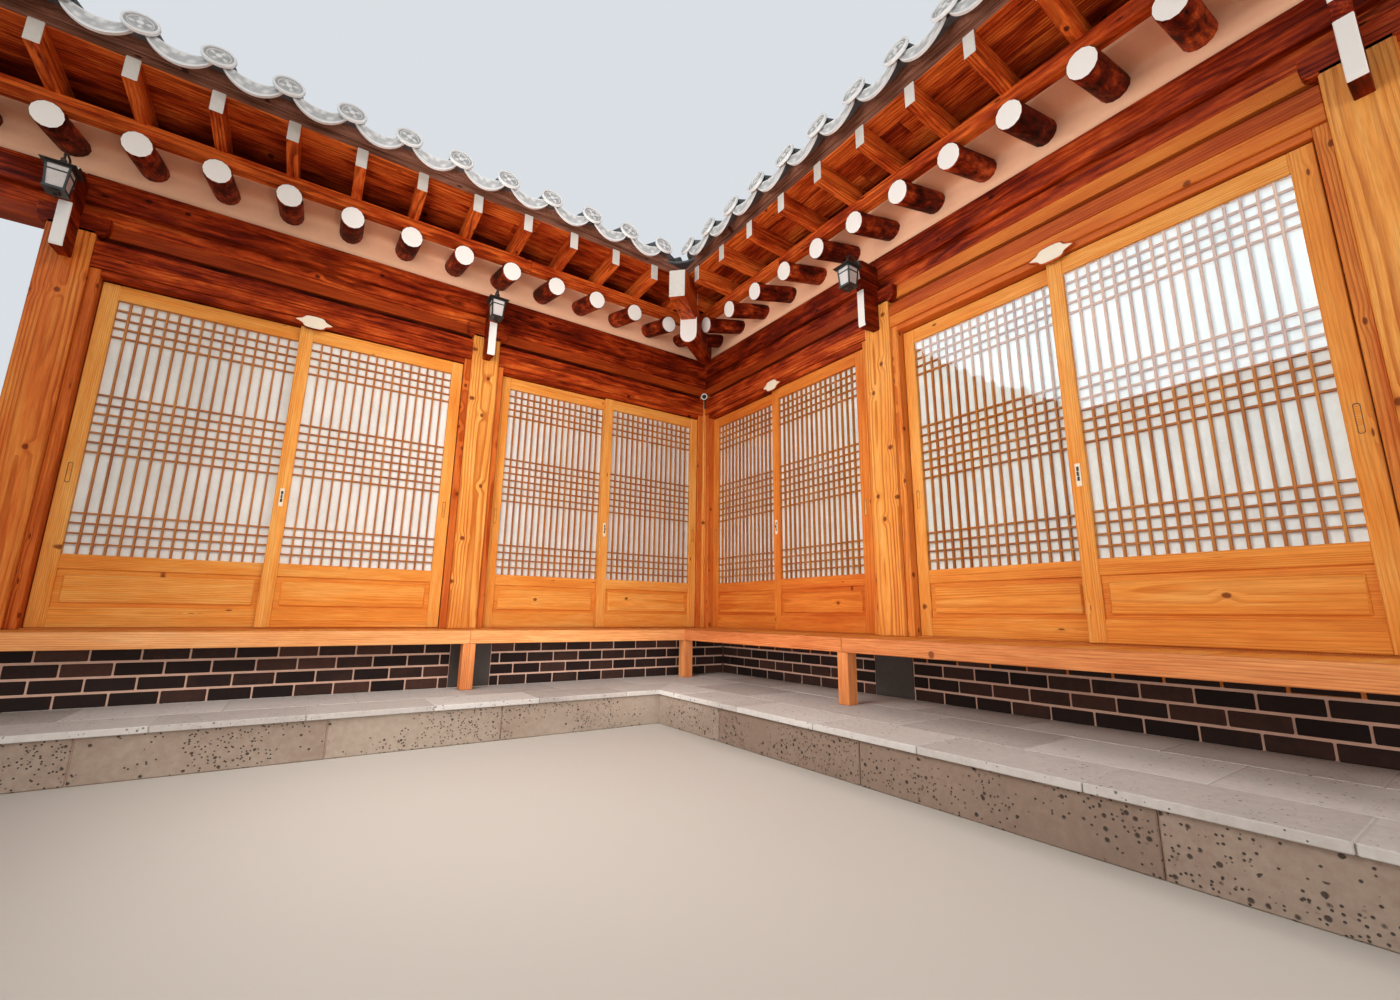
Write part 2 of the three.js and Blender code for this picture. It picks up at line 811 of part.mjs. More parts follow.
function stoneBase() {
  const brickX = [backEndX - footingEnd, brickEnd];
  return join([
    upright(planL(terraceFront, terraceBack, terraceEnd), 0, plinthTop),
    upright(footing, plinthTop - 5, footingTop),
    box(...brickX, brickFront, -footingOffset, terraceTop + fit, footingTop),
    box(...brickX, brickFront, postFront - fit, footingTop - 1, brickTop),
  ]);
}

function terraceCap() {
  const hole = planL(footingOffset + fit, footingOffset + fit, footingEnd + fit);
  const edge = planL(terraceFront + capOverhang, terraceBack + capOverhang, terraceEnd + capOverhang);
  return upright(edge, plinthTop + fit, terraceTop, hole);
}

function roomFloor() {
  const inside = -(postBack + fit);
  const plan = planL(inside, inside, -(wallThickness / 2 + fit));
  return upright(plan, footingTop + fit, floorTop);
}

function cornerPost() {
  const pieces = [box(postFront, postBack, postFront, postBack, floorTop + fit, postTop)];
  const edge = [postFront - jambWidth, postFront + 1];
  pieces.push(jamb(...edge));
  pieces.push(box(jambFront, jambBack, ...edge, floorTop + fit, jambTop - fit));
  return join(pieces);
}

function wing(prefix, endX, tilePitch, rafters, frontLeafAtCorner) {
  const group = new THREE.Group();
  const gableX = endX - gableOverhang;
  const zones = doorZones(endX);
  const add = (name, made, look) => group.add(meshOf(`${prefix}_${name}`, made, look));
  add("court_sill", courtSill(endX), "pine");
  add("post", courtPost(innerPostX, ["near", "far"]), "pine");
  add("end_post", courtPost(endX, ["near"]), "pine");
  zones.forEach((zone, i) => {
    add(`lintel_${i + 1}`, lintel(zone), "stained");
    add(`door_${i + 1}_front`, leaf(zone, frontLeafAtCorner, true), "pine");
    add(`door_${i + 1}_rear`, leaf(zone, !frontLeafAtCorner, false), "pine");
  });
  add("maru", maru(endX), "pine");
  add("court_purlin", mitred(alongX(purlinOutline(), gableX + 40, far)), "stained");
  add("outer_purlin", mitred(alongX(mirrored(purlinOutline()), gableX + 40, far)), "stained");
  add("roof_frame", roofFrame(endX, gableX), "stained");
  add("court_eaves", eaves(gableX, "court", rafters).subtract(valleyParts(fit)), "stained");
  add("outer_eaves", eaves(gableX, "outer", rafters).subtract(hipParts(fit)), "stained");
  add("roof", tiledRoof(gableX, tilePitch), "tile");
  add("ridge", ridge(gableX), "tile");
  add("outer_wall", outerWall(endX), "plaster");
  add("end_wall", endWall(endX), "plaster");
  windowCentres(endX).forEach((x, i) => add(`window_${i + 1}`, outerWindow(x), "pine"));
  add("barge_board", bargeBoard(gableX), "stained");
  add("lantern", lantern(innerPostX), "iron");
  return group;
}

function exchanged(group) {
  group.rotation.z = -Math.PI / 2;
  group.scale.x = -1;
  return group;
}

const house = new THREE.Group();
house.add(wing("back", backEndX, backTilePitch, backRafters, true));
house.add(exchanged(wing("side", sideEndX, sideTilePitch, sideRafters, false)));
house.add(meshOf("stone_base", stoneBase(), "stone"));
house.add(meshOf("terrace_cap", terraceCap(), "stone"));
house.add(meshOf("room_floor", roomFloor(), "floor"));
house.add(meshOf("corner_post", cornerPost(), "pine"));
house.add(meshOf("valley_rafter", valleyRafter(), "stained"));
house.add(meshOf("hip_rafter", hipRafter(), "stained"));
house.add(meshOf("hip_ridge", hipRidge(), "tile"));
house.add(meshOf("back_end_lantern", lantern(backEndX), "iron"));

export default house;
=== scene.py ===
# Hanok house round an inner courtyard corner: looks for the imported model, in metres.
# Parts of a wing are drawn as the back wing's courtyard side: x along the wing, y across it.
# A side then turns them over the ridge for the street, or exchanges x and y for the side wing.
import bpy
import math
import random
import numpy as np
from itertools import product
from mathutils import Matrix, Vector


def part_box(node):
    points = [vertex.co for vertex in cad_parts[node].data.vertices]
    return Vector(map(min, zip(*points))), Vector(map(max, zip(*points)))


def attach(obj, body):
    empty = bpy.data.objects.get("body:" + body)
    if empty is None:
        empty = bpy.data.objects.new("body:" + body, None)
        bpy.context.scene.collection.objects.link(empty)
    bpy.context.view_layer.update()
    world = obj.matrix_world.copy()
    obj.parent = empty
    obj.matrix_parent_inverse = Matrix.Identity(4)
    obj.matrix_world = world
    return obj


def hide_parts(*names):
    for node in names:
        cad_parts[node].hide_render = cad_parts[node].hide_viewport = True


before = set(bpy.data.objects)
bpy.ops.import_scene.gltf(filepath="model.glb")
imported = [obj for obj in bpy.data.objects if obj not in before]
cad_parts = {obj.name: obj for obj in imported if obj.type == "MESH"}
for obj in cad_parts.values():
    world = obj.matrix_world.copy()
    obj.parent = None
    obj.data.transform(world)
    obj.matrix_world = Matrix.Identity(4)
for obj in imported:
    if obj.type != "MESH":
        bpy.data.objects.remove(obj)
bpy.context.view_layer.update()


# Main sizes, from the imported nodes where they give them

house = {
    "span": 3.16,                                  # y of one wall line and of the other, added
    "postHalf": 0.105, "postCentre": 0.065, "innerPost": -2.225,
    "plinthTop": 0.19, "footingTop": 0.45, "jambTop": 2.74, "lintelTop": 2.91, "plateTop": 3.15,
    "purlinTop": 3.33, "terraceTop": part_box("terrace_cap")[1].z, "floorTop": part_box("room_floor")[1].z,
    "postTop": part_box("corner_post")[1].z, "eave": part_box("back_roof")[0].y,
}
house["ridge"] = house["span"] / 2
house["postFront"] = house["postCentre"] - house["postHalf"]
house["postBack"] = house["postCentre"] + house["postHalf"]
house["outerPost"] = house["span"] - house["postCentre"]
hair = 0.0003      # a gap that keeps faces of two pieces out of one plane
anyTurn = 6.28     # a whole turn, for waves that start anywhere
wholeHouse = "house"

# the back wing's courtyard riser stones take a paler tone range than the side wing's plain one: painted
# sunlight
# the back wing's end post tone is darker than the side wing's: painted shade on that post
wings = [
    {"name": "back", "swap": False, "end": -4.642, "gable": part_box("back_roof")[0].x, "atCorner": True,
     "seed": 11, "tilePitch": 0.326, "tileStart": -0.413, "rafterStart": -0.35, "rafterPitch": 0.364,
     "lintelTones": [(0.45, 0.3), (0.5, 0.34)], "endTone": 0.5, "leafTones": (0.25, 0.23),
     "maruTones": (0.3, 0.34), "jambTone": 0.62, "stoneTones": (0.6, 0.95)},
    {"name": "side", "swap": True, "end": -4.588, "gable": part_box("side_roof")[0].y, "atCorner": False,
     "seed": 53, "tilePitch": 0.3, "tileStart": -0.411, "rafterStart": -0.262, "rafterPitch": 0.354,
     "lintelTones": [(0.45, 0.3), (0.7, 0.46)], "endTone": 0.28, "leafTones": (0.44, 0.28),
     "maruTones": (0.52, 0.6), "jambTone": 0.42, "stoneTones": (0.35, 0.75)},
]


# Roof lines, as heights over y on the courtyard side

slope = {
    "rafter": 0.27, "rafterEndY": -0.428, "rafterEndZ": 3.378, "rafterInnerY": 0.83, "rafterRadius": 0.0725,
    "flyEndY": -0.776, "flyBottom": 3.53, "flyHeight": 0.133, "fly": -0.03,
    "roofZ": 3.79, "roofRise": 0.4, "roofCurve": 0.0508, "upper": 0.85, "deckLow": 0.065, "deckHigh": 0.1,
}


def rafterZ(y):
    return slope["rafterEndZ"] + slope["rafter"] * (y - slope["rafterEndY"])


def flyUnder(y):
    return slope["flyBottom"] + slope["fly"] * (y - slope["flyEndY"])


def flyTop(y):
    return slope["flyBottom"] + slope["flyHeight"] + slope["fly"] * (y - slope["flyEndY"])


def deckUnder(y):
    return rafterZ(y) + slope["deckLow"] - 0.001


def deckMeeting():
    # the y where the flying rafters' boards run into the rafters' boards
    return (flyTop(0) + 0.02 - rafterZ(0) - slope["deckHigh"]) / (slope["rafter"] - slope["fly"])


def roofTop(y):
    run = np.minimum(y, house["span"] - y) - house["eave"]
    return slope["roofZ"] + slope["roofRise"] * run + slope["roofCurve"] * run * run


def roofUnder(y):
    knee = rafterZ(slope["rafterInnerY"]) + slope["deckHigh"]
    return knee + slope["upper"] * (min(y, house["span"] - y) - slope["rafterInnerY"])


def overRidge(y, outer):
    return house["span"] - y if outer else y


# Small helpers for ranges and rings

def about(middle, half):
    return (middle - half, middle + half)


def inside(pair, gap):
    return (pair[0] + gap, pair[1] - gap)


def thirds(pair):
    return [pair[0] + (pair[1] - pair[0]) * k / 3 for k in (1, 2)]


def circle(steps):
    return [2 * math.pi * k / steps for k in range(steps)]


squareCorners = ((-1, -1), (1, -1), (1, 1), (-1, 1))
diagonal = np.array([1, -1, 0]) / math.sqrt(2)     # across the line that the two wings mirror


# Collecting faces into pieces

def newSide(wing=None, outer=False, mitre=True):
    return {"swap": bool(wing and wing["swap"]), "outer": outer, "mitre": mitre and wing is not None}


def placed(side, points):
    spots = points.copy()
    if side["outer"]:
        spots[:, 1] = house["span"] - spots[:, 1]
    if side["mitre"]:
        spots[:, 0] = np.minimum(spots[:, 0], spots[:, 1] - 0.0002)
    return spots[:, [1, 0, 2]] if side["swap"] else spots


def newPart(dice=None, wing=None, outer=False, mitre=True):
    return {"dice": dice, "side": newSide(wing, outer, mitre), "points": [], "grain": [], "tone": [],
            "groups": [], "count": 0}


def turnParts(parts, *side, **more):
    for part in parts:
        part["side"] = newSide(*side, **more)


def volumeOf(spots, groups):
    total = 0.0
    for faces, slots, smooth in groups:
        for k in range(1, faces.shape[1] - 1):
            a, b, c = spots[faces[:, 0]], spots[faces[:, k]], spots[faces[:, k + 1]]
            total += np.einsum("ij,ij->i", a, np.cross(b, c)).sum()
    return total


def addFaces(part, points, groups, tone=0.5, grain=None):
    # groups: (faces of one size, slot number or one for each face, smooth), a closed shape together
    drawn = np.array(points, float).reshape(-1, 3)
    spots = placed(part["side"], drawn)
    made = [(faces, np.broadcast_to(slots, len(faces)), smooth) for faces, slots, smooth in groups]
    if volumeOf(spots - spots.mean(0), made) < 0:
        made = [(faces[:, ::-1], slots, smooth) for faces, slots, smooth in made]
    for faces, slots, smooth in made:
        part["groups"].append((faces + part["count"], slots, smooth))
    part["points"].append(spots)
    part["grain"].append(drawn if grain is None else grain)
    part["tone"].append(np.broadcast_to(tone, len(spots)))
    part["count"] += len(spots)


def finishPart(part, name, slot, lookNames, *replaced, body=wholeHouse):
    mesh = bpy.data.meshes.new(name)
    starts, corners, slots, smooth, at = [], [], [], [], 0
    for faces, faceSlots, isSmooth in part["groups"]:
        starts.append(at + faces.shape[1] * np.arange(len(faces)))
        corners.append(faces.ravel())
        slots.append(faceSlots)
        smooth.append(np.full(len(faces), isSmooth))
        at += faces.size
    mesh.vertices.add(part["count"])
    mesh.loops.add(at)
    mesh.polygons.add(sum(map(len, starts)))
    for label, kind in (("grain", "FLOAT_VECTOR"), ("tone", "FLOAT")):
        mesh.attributes.new(label, kind, "POINT")
    for data, key, values, kind in (
            (mesh.attributes["grain"].data, "vector", part["grain"], np.float32),
            (mesh.attributes["tone"].data, "value", part["tone"], np.float32),
            (mesh.vertices, "co", part["points"], np.float32),
            (mesh.loops, "vertex_index", corners, np.int32),
            (mesh.polygons, "loop_start", starts, np.int32),
            (mesh.polygons, "material_index", slots, np.int32),
            (mesh.polygons, "use_smooth", smooth, bool)):
        data.foreach_set(key, np.concatenate(values).astype(kind).ravel())
    for look in lookNames.split():
        mesh.materials.append(looks[look])
    mesh.update(calc_edges=True)
    mesh.validate()
    made = bpy.data.objects.new(name, mesh)
    bpy.context.scene.collection.objects.link(made)
    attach(made, body)
    if replaced:
        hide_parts(*replaced)


# Basic shapes

def cornerOf(axis, s, u, v):
    corner = [u, v]
    corner.insert(axis, s)
    return tuple(corner)


def makeBoxFaces():
    # a box with cut edges: each corner has one point on each of its three faces
    ends = (-1, 1)
    keys = [(axis, cornerOf(axis, *suv)) for axis in range(3) for suv in product(ends, repeat=3)]
    number = {key: n for n, key in enumerate(keys)}
    signs = np.array([corner for axis, corner in keys], float)
    insets = np.array([[float(k != axis) for k in range(3)] for axis, corner in keys])
    quads = [[number[axis, cornerOf(axis, s, u, v)] for u, v in squareCorners] for axis in range(3)
             for s in ends]
    for along in range(3):
        a, b = [k for k in range(3) if k != along]
        for s, t in product(ends, repeat=2):
            low, high = cornerOf(along, -1, s, t), cornerOf(along, 1, s, t)
            quads.append([number[a, low], number[a, high], number[b, high], number[b, low]])
    cuts = [[number[axis, corner] for axis in range(3)] for corner in product(ends, repeat=3)]
    sample = signs * (1 - 0.1 * insets)
    quads, cuts = np.array(quads), np.array(cuts)
    for face in (*quads, *cuts):
        a, b, c = sample[face[:3]]
        if np.dot(np.cross(b - a, c - a), sample[face].mean(0)) < 0:
            face[:] = face[::-1].copy()
    return signs, insets, quads, cuts


boxSigns, boxInsets, boxQuads, boxCuts = makeBoxFaces()
grainReach = 40     # how far along a tree trunk a board may be sawn from


def othersOf(axis):
    a = "xyz".index(axis)
    return a, [k for k in range(3) if k != a]


def grainOf(points, along, pith, shift):
    # (along the grain, across, across), measured from the heart of the tree
    a, (u, v) = othersOf(along)
    return np.stack([points[:, a] + shift, points[:, u] - pith[0], points[:, v] - pith[1]], 1)


def board(part, x, y, z, along="x", chamfer=0.003, tone=0.5, slot=0, pith=None, lean=None):
    dice = part["dice"]
    lo, hi = np.array([x, y, z], float).T
    middle, half = (lo + hi) / 2, (hi - lo) / 2
    bevel = min(chamfer, half.min() * 0.45)
    points = middle + boxSigns * (half - bevel * boxInsets)
    if pith is None:      # a plank sawn somewhere beside the heart
        pith = [middle[k] + dice.uniform(-1, 1) * (half[k] + 0.03) for k in othersOf(along)[1]]
    grain = grainOf(points, along, pith, dice.uniform(0, grainReach))
    if lean is not None:  # z follows y, for boards on a slope
        points[:, 2] += lean * (points[:, 1] - middle[1])
    addFaces(part, points, [(boxQuads, slot, False), (boxCuts, slot, False)], tone, grain)


def ringFaces(rows, size):
    r, k = np.meshgrid(np.arange(rows - 1), np.arange(size), indexing="ij")
    low, after = r * size, (k + 1) % size
    return np.stack([low + k, low + after, low + size + after, low + size + k], -1).reshape(-1, 4)


def loft(part, rings, tone=0.5, slot=0, capSlots=(None, None), smooth=True, grain=None):
    # closed rings of points joined in a row, with flat caps that have their own corners
    rings = np.array(rings, float)
    rows, size = rings.shape[:2]
    body = rings.reshape(-1, 3)
    grain = body if grain is None else np.array(grain, float).reshape(-1, 3)
    first, last = [slot if c is None else c for c in capSlots]
    cap = np.arange(size)[None, :]
    groups = [(ringFaces(rows, size), slot, smooth), (cap[:, ::-1] + rows * size, first, False),
              (cap + (rows + 1) * size, last, False)]
    points, grain = [np.concatenate([p, p[:size], p[-size:]]) for p in (body, grain)]
    addFaces(part, points, groups, tone, grain)


def insetOutline(outline, amount):
    points = np.array(outline, float)
    before, after = np.roll(points, 1, 0), np.roll(points, -1, 0)
    area = np.sum(points[:, 0] * after[:, 1] - after[:, 0] * points[:, 1])
    normals = []
    for edge in (points - before, after - points):
        edge /= np.linalg.norm(edge, axis=1)[:, None] + 1e-12
        normals.append(np.stack([-edge[:, 1], edge[:, 0]], 1) * (1 if area > 0 else -1))
    both = sum(normals)
    both /= np.maximum(np.sum(both * normals[0], 1), 0.35)[:, None]     # keeps a sharp corner short
    return points + both * amount


def chamferedRings(inner, outline, stretch, chamfer):
    return zip((inner, outline, outline, inner),
               (stretch[0], stretch[0] + chamfer, stretch[1] - chamfer, stretch[1]))


def paintedSlots(size, slot, painted, paint):
    slots = np.full((3, size), slot)
    slots[:, list(painted)] = paint
    return slots.ravel()


def slab(part, outline, across, stretch, along, chamfer=0.003, tone=0.5, slot=0, painted=(), paint=1,
         pith=None):
    # an outline in two axes, drawn out along the third: across names the third, along the grain
    dice, size = part["dice"], len(outline)
    a, (u, v) = othersOf(across)
    rings = np.empty((4, size, 3))
    for ring, (flat, at) in zip(rings,
                                chamferedRings(insetOutline(outline, chamfer), outline, stretch, chamfer)):
        ring[:, a], ring[:, [u, v]] = at, flat
    body = rings.reshape(-1, 3)
    if pith is None:
        middle = body.mean(0)
        pith = [middle[k] + dice.uniform(-0.06, 0.06) for k in othersOf(along)[1]]
    grain = grainOf(body, along, pith, dice.uniform(0, grainReach))
    loft(part, rings, tone, paintedSlots(size, slot, painted, paint), (slot, slot), False, grain)


def splitLengths(dice, start, end, low, high):
    cuts = [start]
    while end - cuts[-1] > high:
        cuts.append(cuts[-1] + dice.uniform(low, high))
    if end - cuts[-1] < low * 0.4 and len(cuts) > 1:
        cuts.pop()
    return list(zip(cuts, cuts[1:] + [end]))


# Shader building

def put(tree, kind, links=None, **settings):
    node = tree.nodes.new("ShaderNode" + kind)
    for name, value in settings.items():
        setattr(node, name, value)
    for name, value in (links or {}).items():
        if isinstance(value, bpy.types.NodeSocket):
            tree.links.new(value, node.inputs[name])
        else:
            node.inputs[name].default_value = value
    return node


def calc(tree, operation, a, b=0.0, c=0.0, clamp=False):
    return put(tree, "Math", {0: a, 1: b, 2: c}, operation=operation, use_clamp=clamp).outputs[0]


def times(tree, a, b):
    return calc(tree, "MULTIPLY", a, b)


def timesPlus(tree, a, b, c, clamp=False):
    return calc(tree, "MULTIPLY_ADD", a, b, c, clamp)


def vectorMath(tree, operation, a, b):
    return put(tree, "VectorMath", {0: a, "Scale" if operation == "SCALE" else 1: b},
               operation=operation).outputs[0]


def stretch(tree, vector, factors):
    return vectorMath(tree, "MULTIPLY", vector, factors)


def grained(tree, vector, along, across):
    # stretches by one factor along the grain and by another across it
    return stretch(tree, vector, (along, across, across))


def noise(tree, vector, scale=1.0, detail=2.0, roughness=0.5, distortion=0.0, output=0):
    links = {"Vector": vector, "Scale": scale, "Detail": detail, "Roughness": roughness,
             "Distortion": distortion}
    return put(tree, "TexNoise", links).outputs[output]


def worldPoint(tree):
    return put(tree, "NewGeometry").outputs["Position"]


def band(tree, value, low, high):
    # 0 below low, 1 above high; the other way round where low is the larger
    rising = low < high
    links = {"Value": value, "From Min": min(low, high), "From Max": max(low, high),
             "To Min": 0.0 if rising else 1.0, "To Max": 1.0 if rising else 0.0}
    return put(tree, "MapRange", links, interpolation_type="SMOOTHSTEP").outputs[0]


def mixed(tree, factor, a, b, mode="MIX"):
    return put(tree, "Mix", {0: factor, 6: a, 7: b}, data_type="RGBA", blend_type=mode).outputs[2]


def ramp(tree, value, colours, places=None):
    # without places, colours spread by habit: more room for the pale ones
    usual = {2: (0.0, 1.0), 3: (0.0, 0.5, 1.0), 4: (0.0, 0.3, 0.6, 1.0), 5: (0.0, 0.3, 0.55, 0.8, 1.0)}
    node = put(tree, "ValToRGB", {"Fac": value})
    elements = node.color_ramp.elements
    while len(elements) < len(colours):
        elements.new(0.5)
    for element, at, colour in zip(elements, places or usual[len(colours)], colours):
        element.position, element.color = at, (*colour, 1)
    return node.outputs["Color"]


def newGroup(name, inputs, outputs):
    tree = bpy.data.node_groups.new(name, "ShaderNodeTree")
    for label, value in inputs.items():
        kind = "NodeSocketVector" if value is None else "NodeSocketFloat"
        socket = tree.interface.new_socket(label, in_out="INPUT", socket_type=kind)
        if value is not None:
            socket.default_value = value
    for label in outputs:
        tree.interface.new_socket(label, in_out="OUTPUT", socket_type="NodeSocketFloat")
    return tree, tree.nodes.new("NodeGroupInput").outputs, tree.nodes.new("NodeGroupOutput").inputs


def linkAll(tree, inputs, values):
    for label, value in values.items():
        tree.links.new(value, inputs[label])


def useGroup(tree, group, links):
    return put(tree, "Group", links, node_tree=group).outputs


def newLook(name, roughness=0.6, specular=0.5):
    look = bpy.data.materials.new(name)
    look.use_nodes = True
    shader = look.node_tree.nodes["Principled BSDF"]
    shader.inputs["Roughness"].default_value = roughness
    shader.inputs["Specular IOR Level"].default_value = specular
    return look, look.node_tree, shader


def addBump(tree, shader, height, distance):
    bump = put(tree, "Bump", {"Height": height, "Distance": distance, "Strength": 1.0})
    tree.links.new(bump.outputs["Normal"], shader.inputs["Normal"])


# Timber grain: growth rings round the heart, bent by knots, with fibres and slow blotches

def makeTimberGrain():
    inputs = {"Vector": None, "Ring Width": 0.01, "Waviness": 0.02, "Knots": 0.45, "Lengthwise": 1.0}
    tree, given, out = newGroup("timber grain", inputs,
                                ["Rings", "Fibre", "Knots", "Blotch", "Streaks", "Height"])
    vector = given["Vector"]
    factors = put(tree, "CombineXYZ", {0: given["Lengthwise"], 1: 1.0, 2: 1.0}).outputs[0]
    shorter = stretch(tree, vector, factors)
    slow = noise(tree, grained(tree, shorter, 0.9, 4.0), output="Color")
    drift = vectorMath(tree, "SUBTRACT", slow, (0.5, 0.5, 0.5))
    push = vectorMath(tree, "SCALE", drift, given["Waviness"])
    moved = vectorMath(tree, "ADD", vector, push)
    # knots sit on the skin of the trunk, unrolled round the heart
    along = put(tree, "SeparateXYZ", {0: vector}).outputs
    around = times(tree, calc(tree, "ARCTAN2", along[2], along[1]), 0.13)
    unrolled = put(tree, "CombineXYZ", {0: times(tree, along[0], 0.8), 1: around}).outputs[0]
    cells = put(tree, "TexVoronoi", {"Vector": unrolled, "Scale": 6.6}, voronoi_dimensions="2D").outputs
    chance = put(tree, "SeparateColor", {0: cells["Color"]}).outputs[0]
    pick = calc(tree, "LESS_THAN", chance, given["Knots"])
    ragged = timesPlus(tree, noise(tree, vector, 30.0), 0.05, cells["Distance"])
    knot = times(tree, band(tree, ragged, 0.135, 0.085), pick)
    halo = times(tree, band(tree, cells["Distance"], 0.39, 0.06), pick)
    # rings, each with its dark late wood, bent out round a knot
    across = stretch(tree, moved, (0.0, 1.0, 1.0))
    radius = put(tree, "VectorMath", {0: across}, operation="LENGTH").outputs["Value"]
    turns = calc(tree, "DIVIDE", timesPlus(tree, halo, 0.006, radius), given["Ring Width"])
    wander = noise(tree, grained(tree, vector, 0.5, 9.0), detail=1.0)
    phase = calc(tree, "FRACT", timesPlus(tree, wander, 3.0, turns))
    late = times(tree, band(tree, phase, 0.35, 0.86), band(tree, phase, 1.0, 0.9))
    strength = band(tree, noise(tree, grained(tree, vector, 0.7, 14.0)), 0.25, 0.7)
    rings = times(tree, late, timesPlus(tree, strength, 0.6, 0.4))
    fibre = noise(tree, grained(tree, moved, 7.0, 230.0), detail=3.0, roughness=0.6)
    blotch = noise(tree, grained(tree, shorter, 1.5, 7.0), detail=4.0, roughness=0.6)
    drawn = stretch(tree, moved, factors)
    streaks = noise(tree, grained(tree, drawn, 2.0, 30.0), detail=5.0, roughness=0.7)
    height = timesPlus(tree, fibre, 0.4, times(tree, rings, -0.5))
    height = timesPlus(tree, streaks, 0.5, height)
    height = calc(tree, "SUBTRACT", height, times(tree, knot, 0.4))
    linkAll(tree, out, {"Rings": rings, "Fibre": fibre, "Knots": knot, "Blotch": blotch, "Streaks": streaks,
                        "Height": height})
    return tree


# Dust and grime: outputs are masks for faces that look up and for uneven wear

def makeWeather():
    tree, given, out = newGroup("weather", {"Scale": 3.0, "Dust": 0.3}, ["Dust", "Mottle"])
    geometry = put(tree, "NewGeometry").outputs
    up = put(tree, "SeparateXYZ", {0: geometry["Normal"]}).outputs[2]
    patches = noise(tree, geometry["Position"], given["Scale"], 4.0, 0.6)
    fine = noise(tree, geometry["Position"], 38.0, 3.0, 0.6)
    dust = times(tree, band(tree, up, 0.15, 0.9), band(tree, patches, 0.3, 0.75))
    linkAll(tree, out, {"Dust": times(tree, dust, given["Dust"]),
                        "Mottle": timesPlus(tree, fine, 0.5, times(tree, patches, 0.5))})
    return tree


# Pits of a volcanic stone: a height that drops in round pores of two sizes

def makePores():
    tree, given, out = newGroup("stone pores", {"Pore Scale": 60.0, "Amount": 0.5}, ["Pores", "Height"])
    position = worldPoint(tree)
    where = band(tree, noise(tree, position, 3.2, 3.0), 0.35, 0.65)
    pits = []
    for factor, size in ((1.0, 0.3), (2.3, 0.34)):
        scale = times(tree, given["Pore Scale"], factor)
        cells = put(tree, "TexVoronoi", {"Vector": position, "Scale": scale}).outputs
        chance = put(tree, "SeparateColor", {0: cells["Color"]}).outputs[1]
        keep = calc(tree, "LESS_THAN", chance, times(tree, given["Amount"], where))
        pits.append(times(tree, band(tree, cells["Distance"], size, size * 0.55), keep))
    deepest = calc(tree, "MAXIMUM", *pits)
    grit = noise(tree, position, 180.0, 3.0, 0.7)
    linkAll(tree, out,
            {"Pores": deepest, "Height": calc(tree, "SUBTRACT", times(tree, grit, 0.35), deepest)})
    return tree


timberGrain, weather, pores = makeTimberGrain(), makeWeather(), makePores()

# Timbers: colours from the palest to the darkest, and how much each part of the grain shows

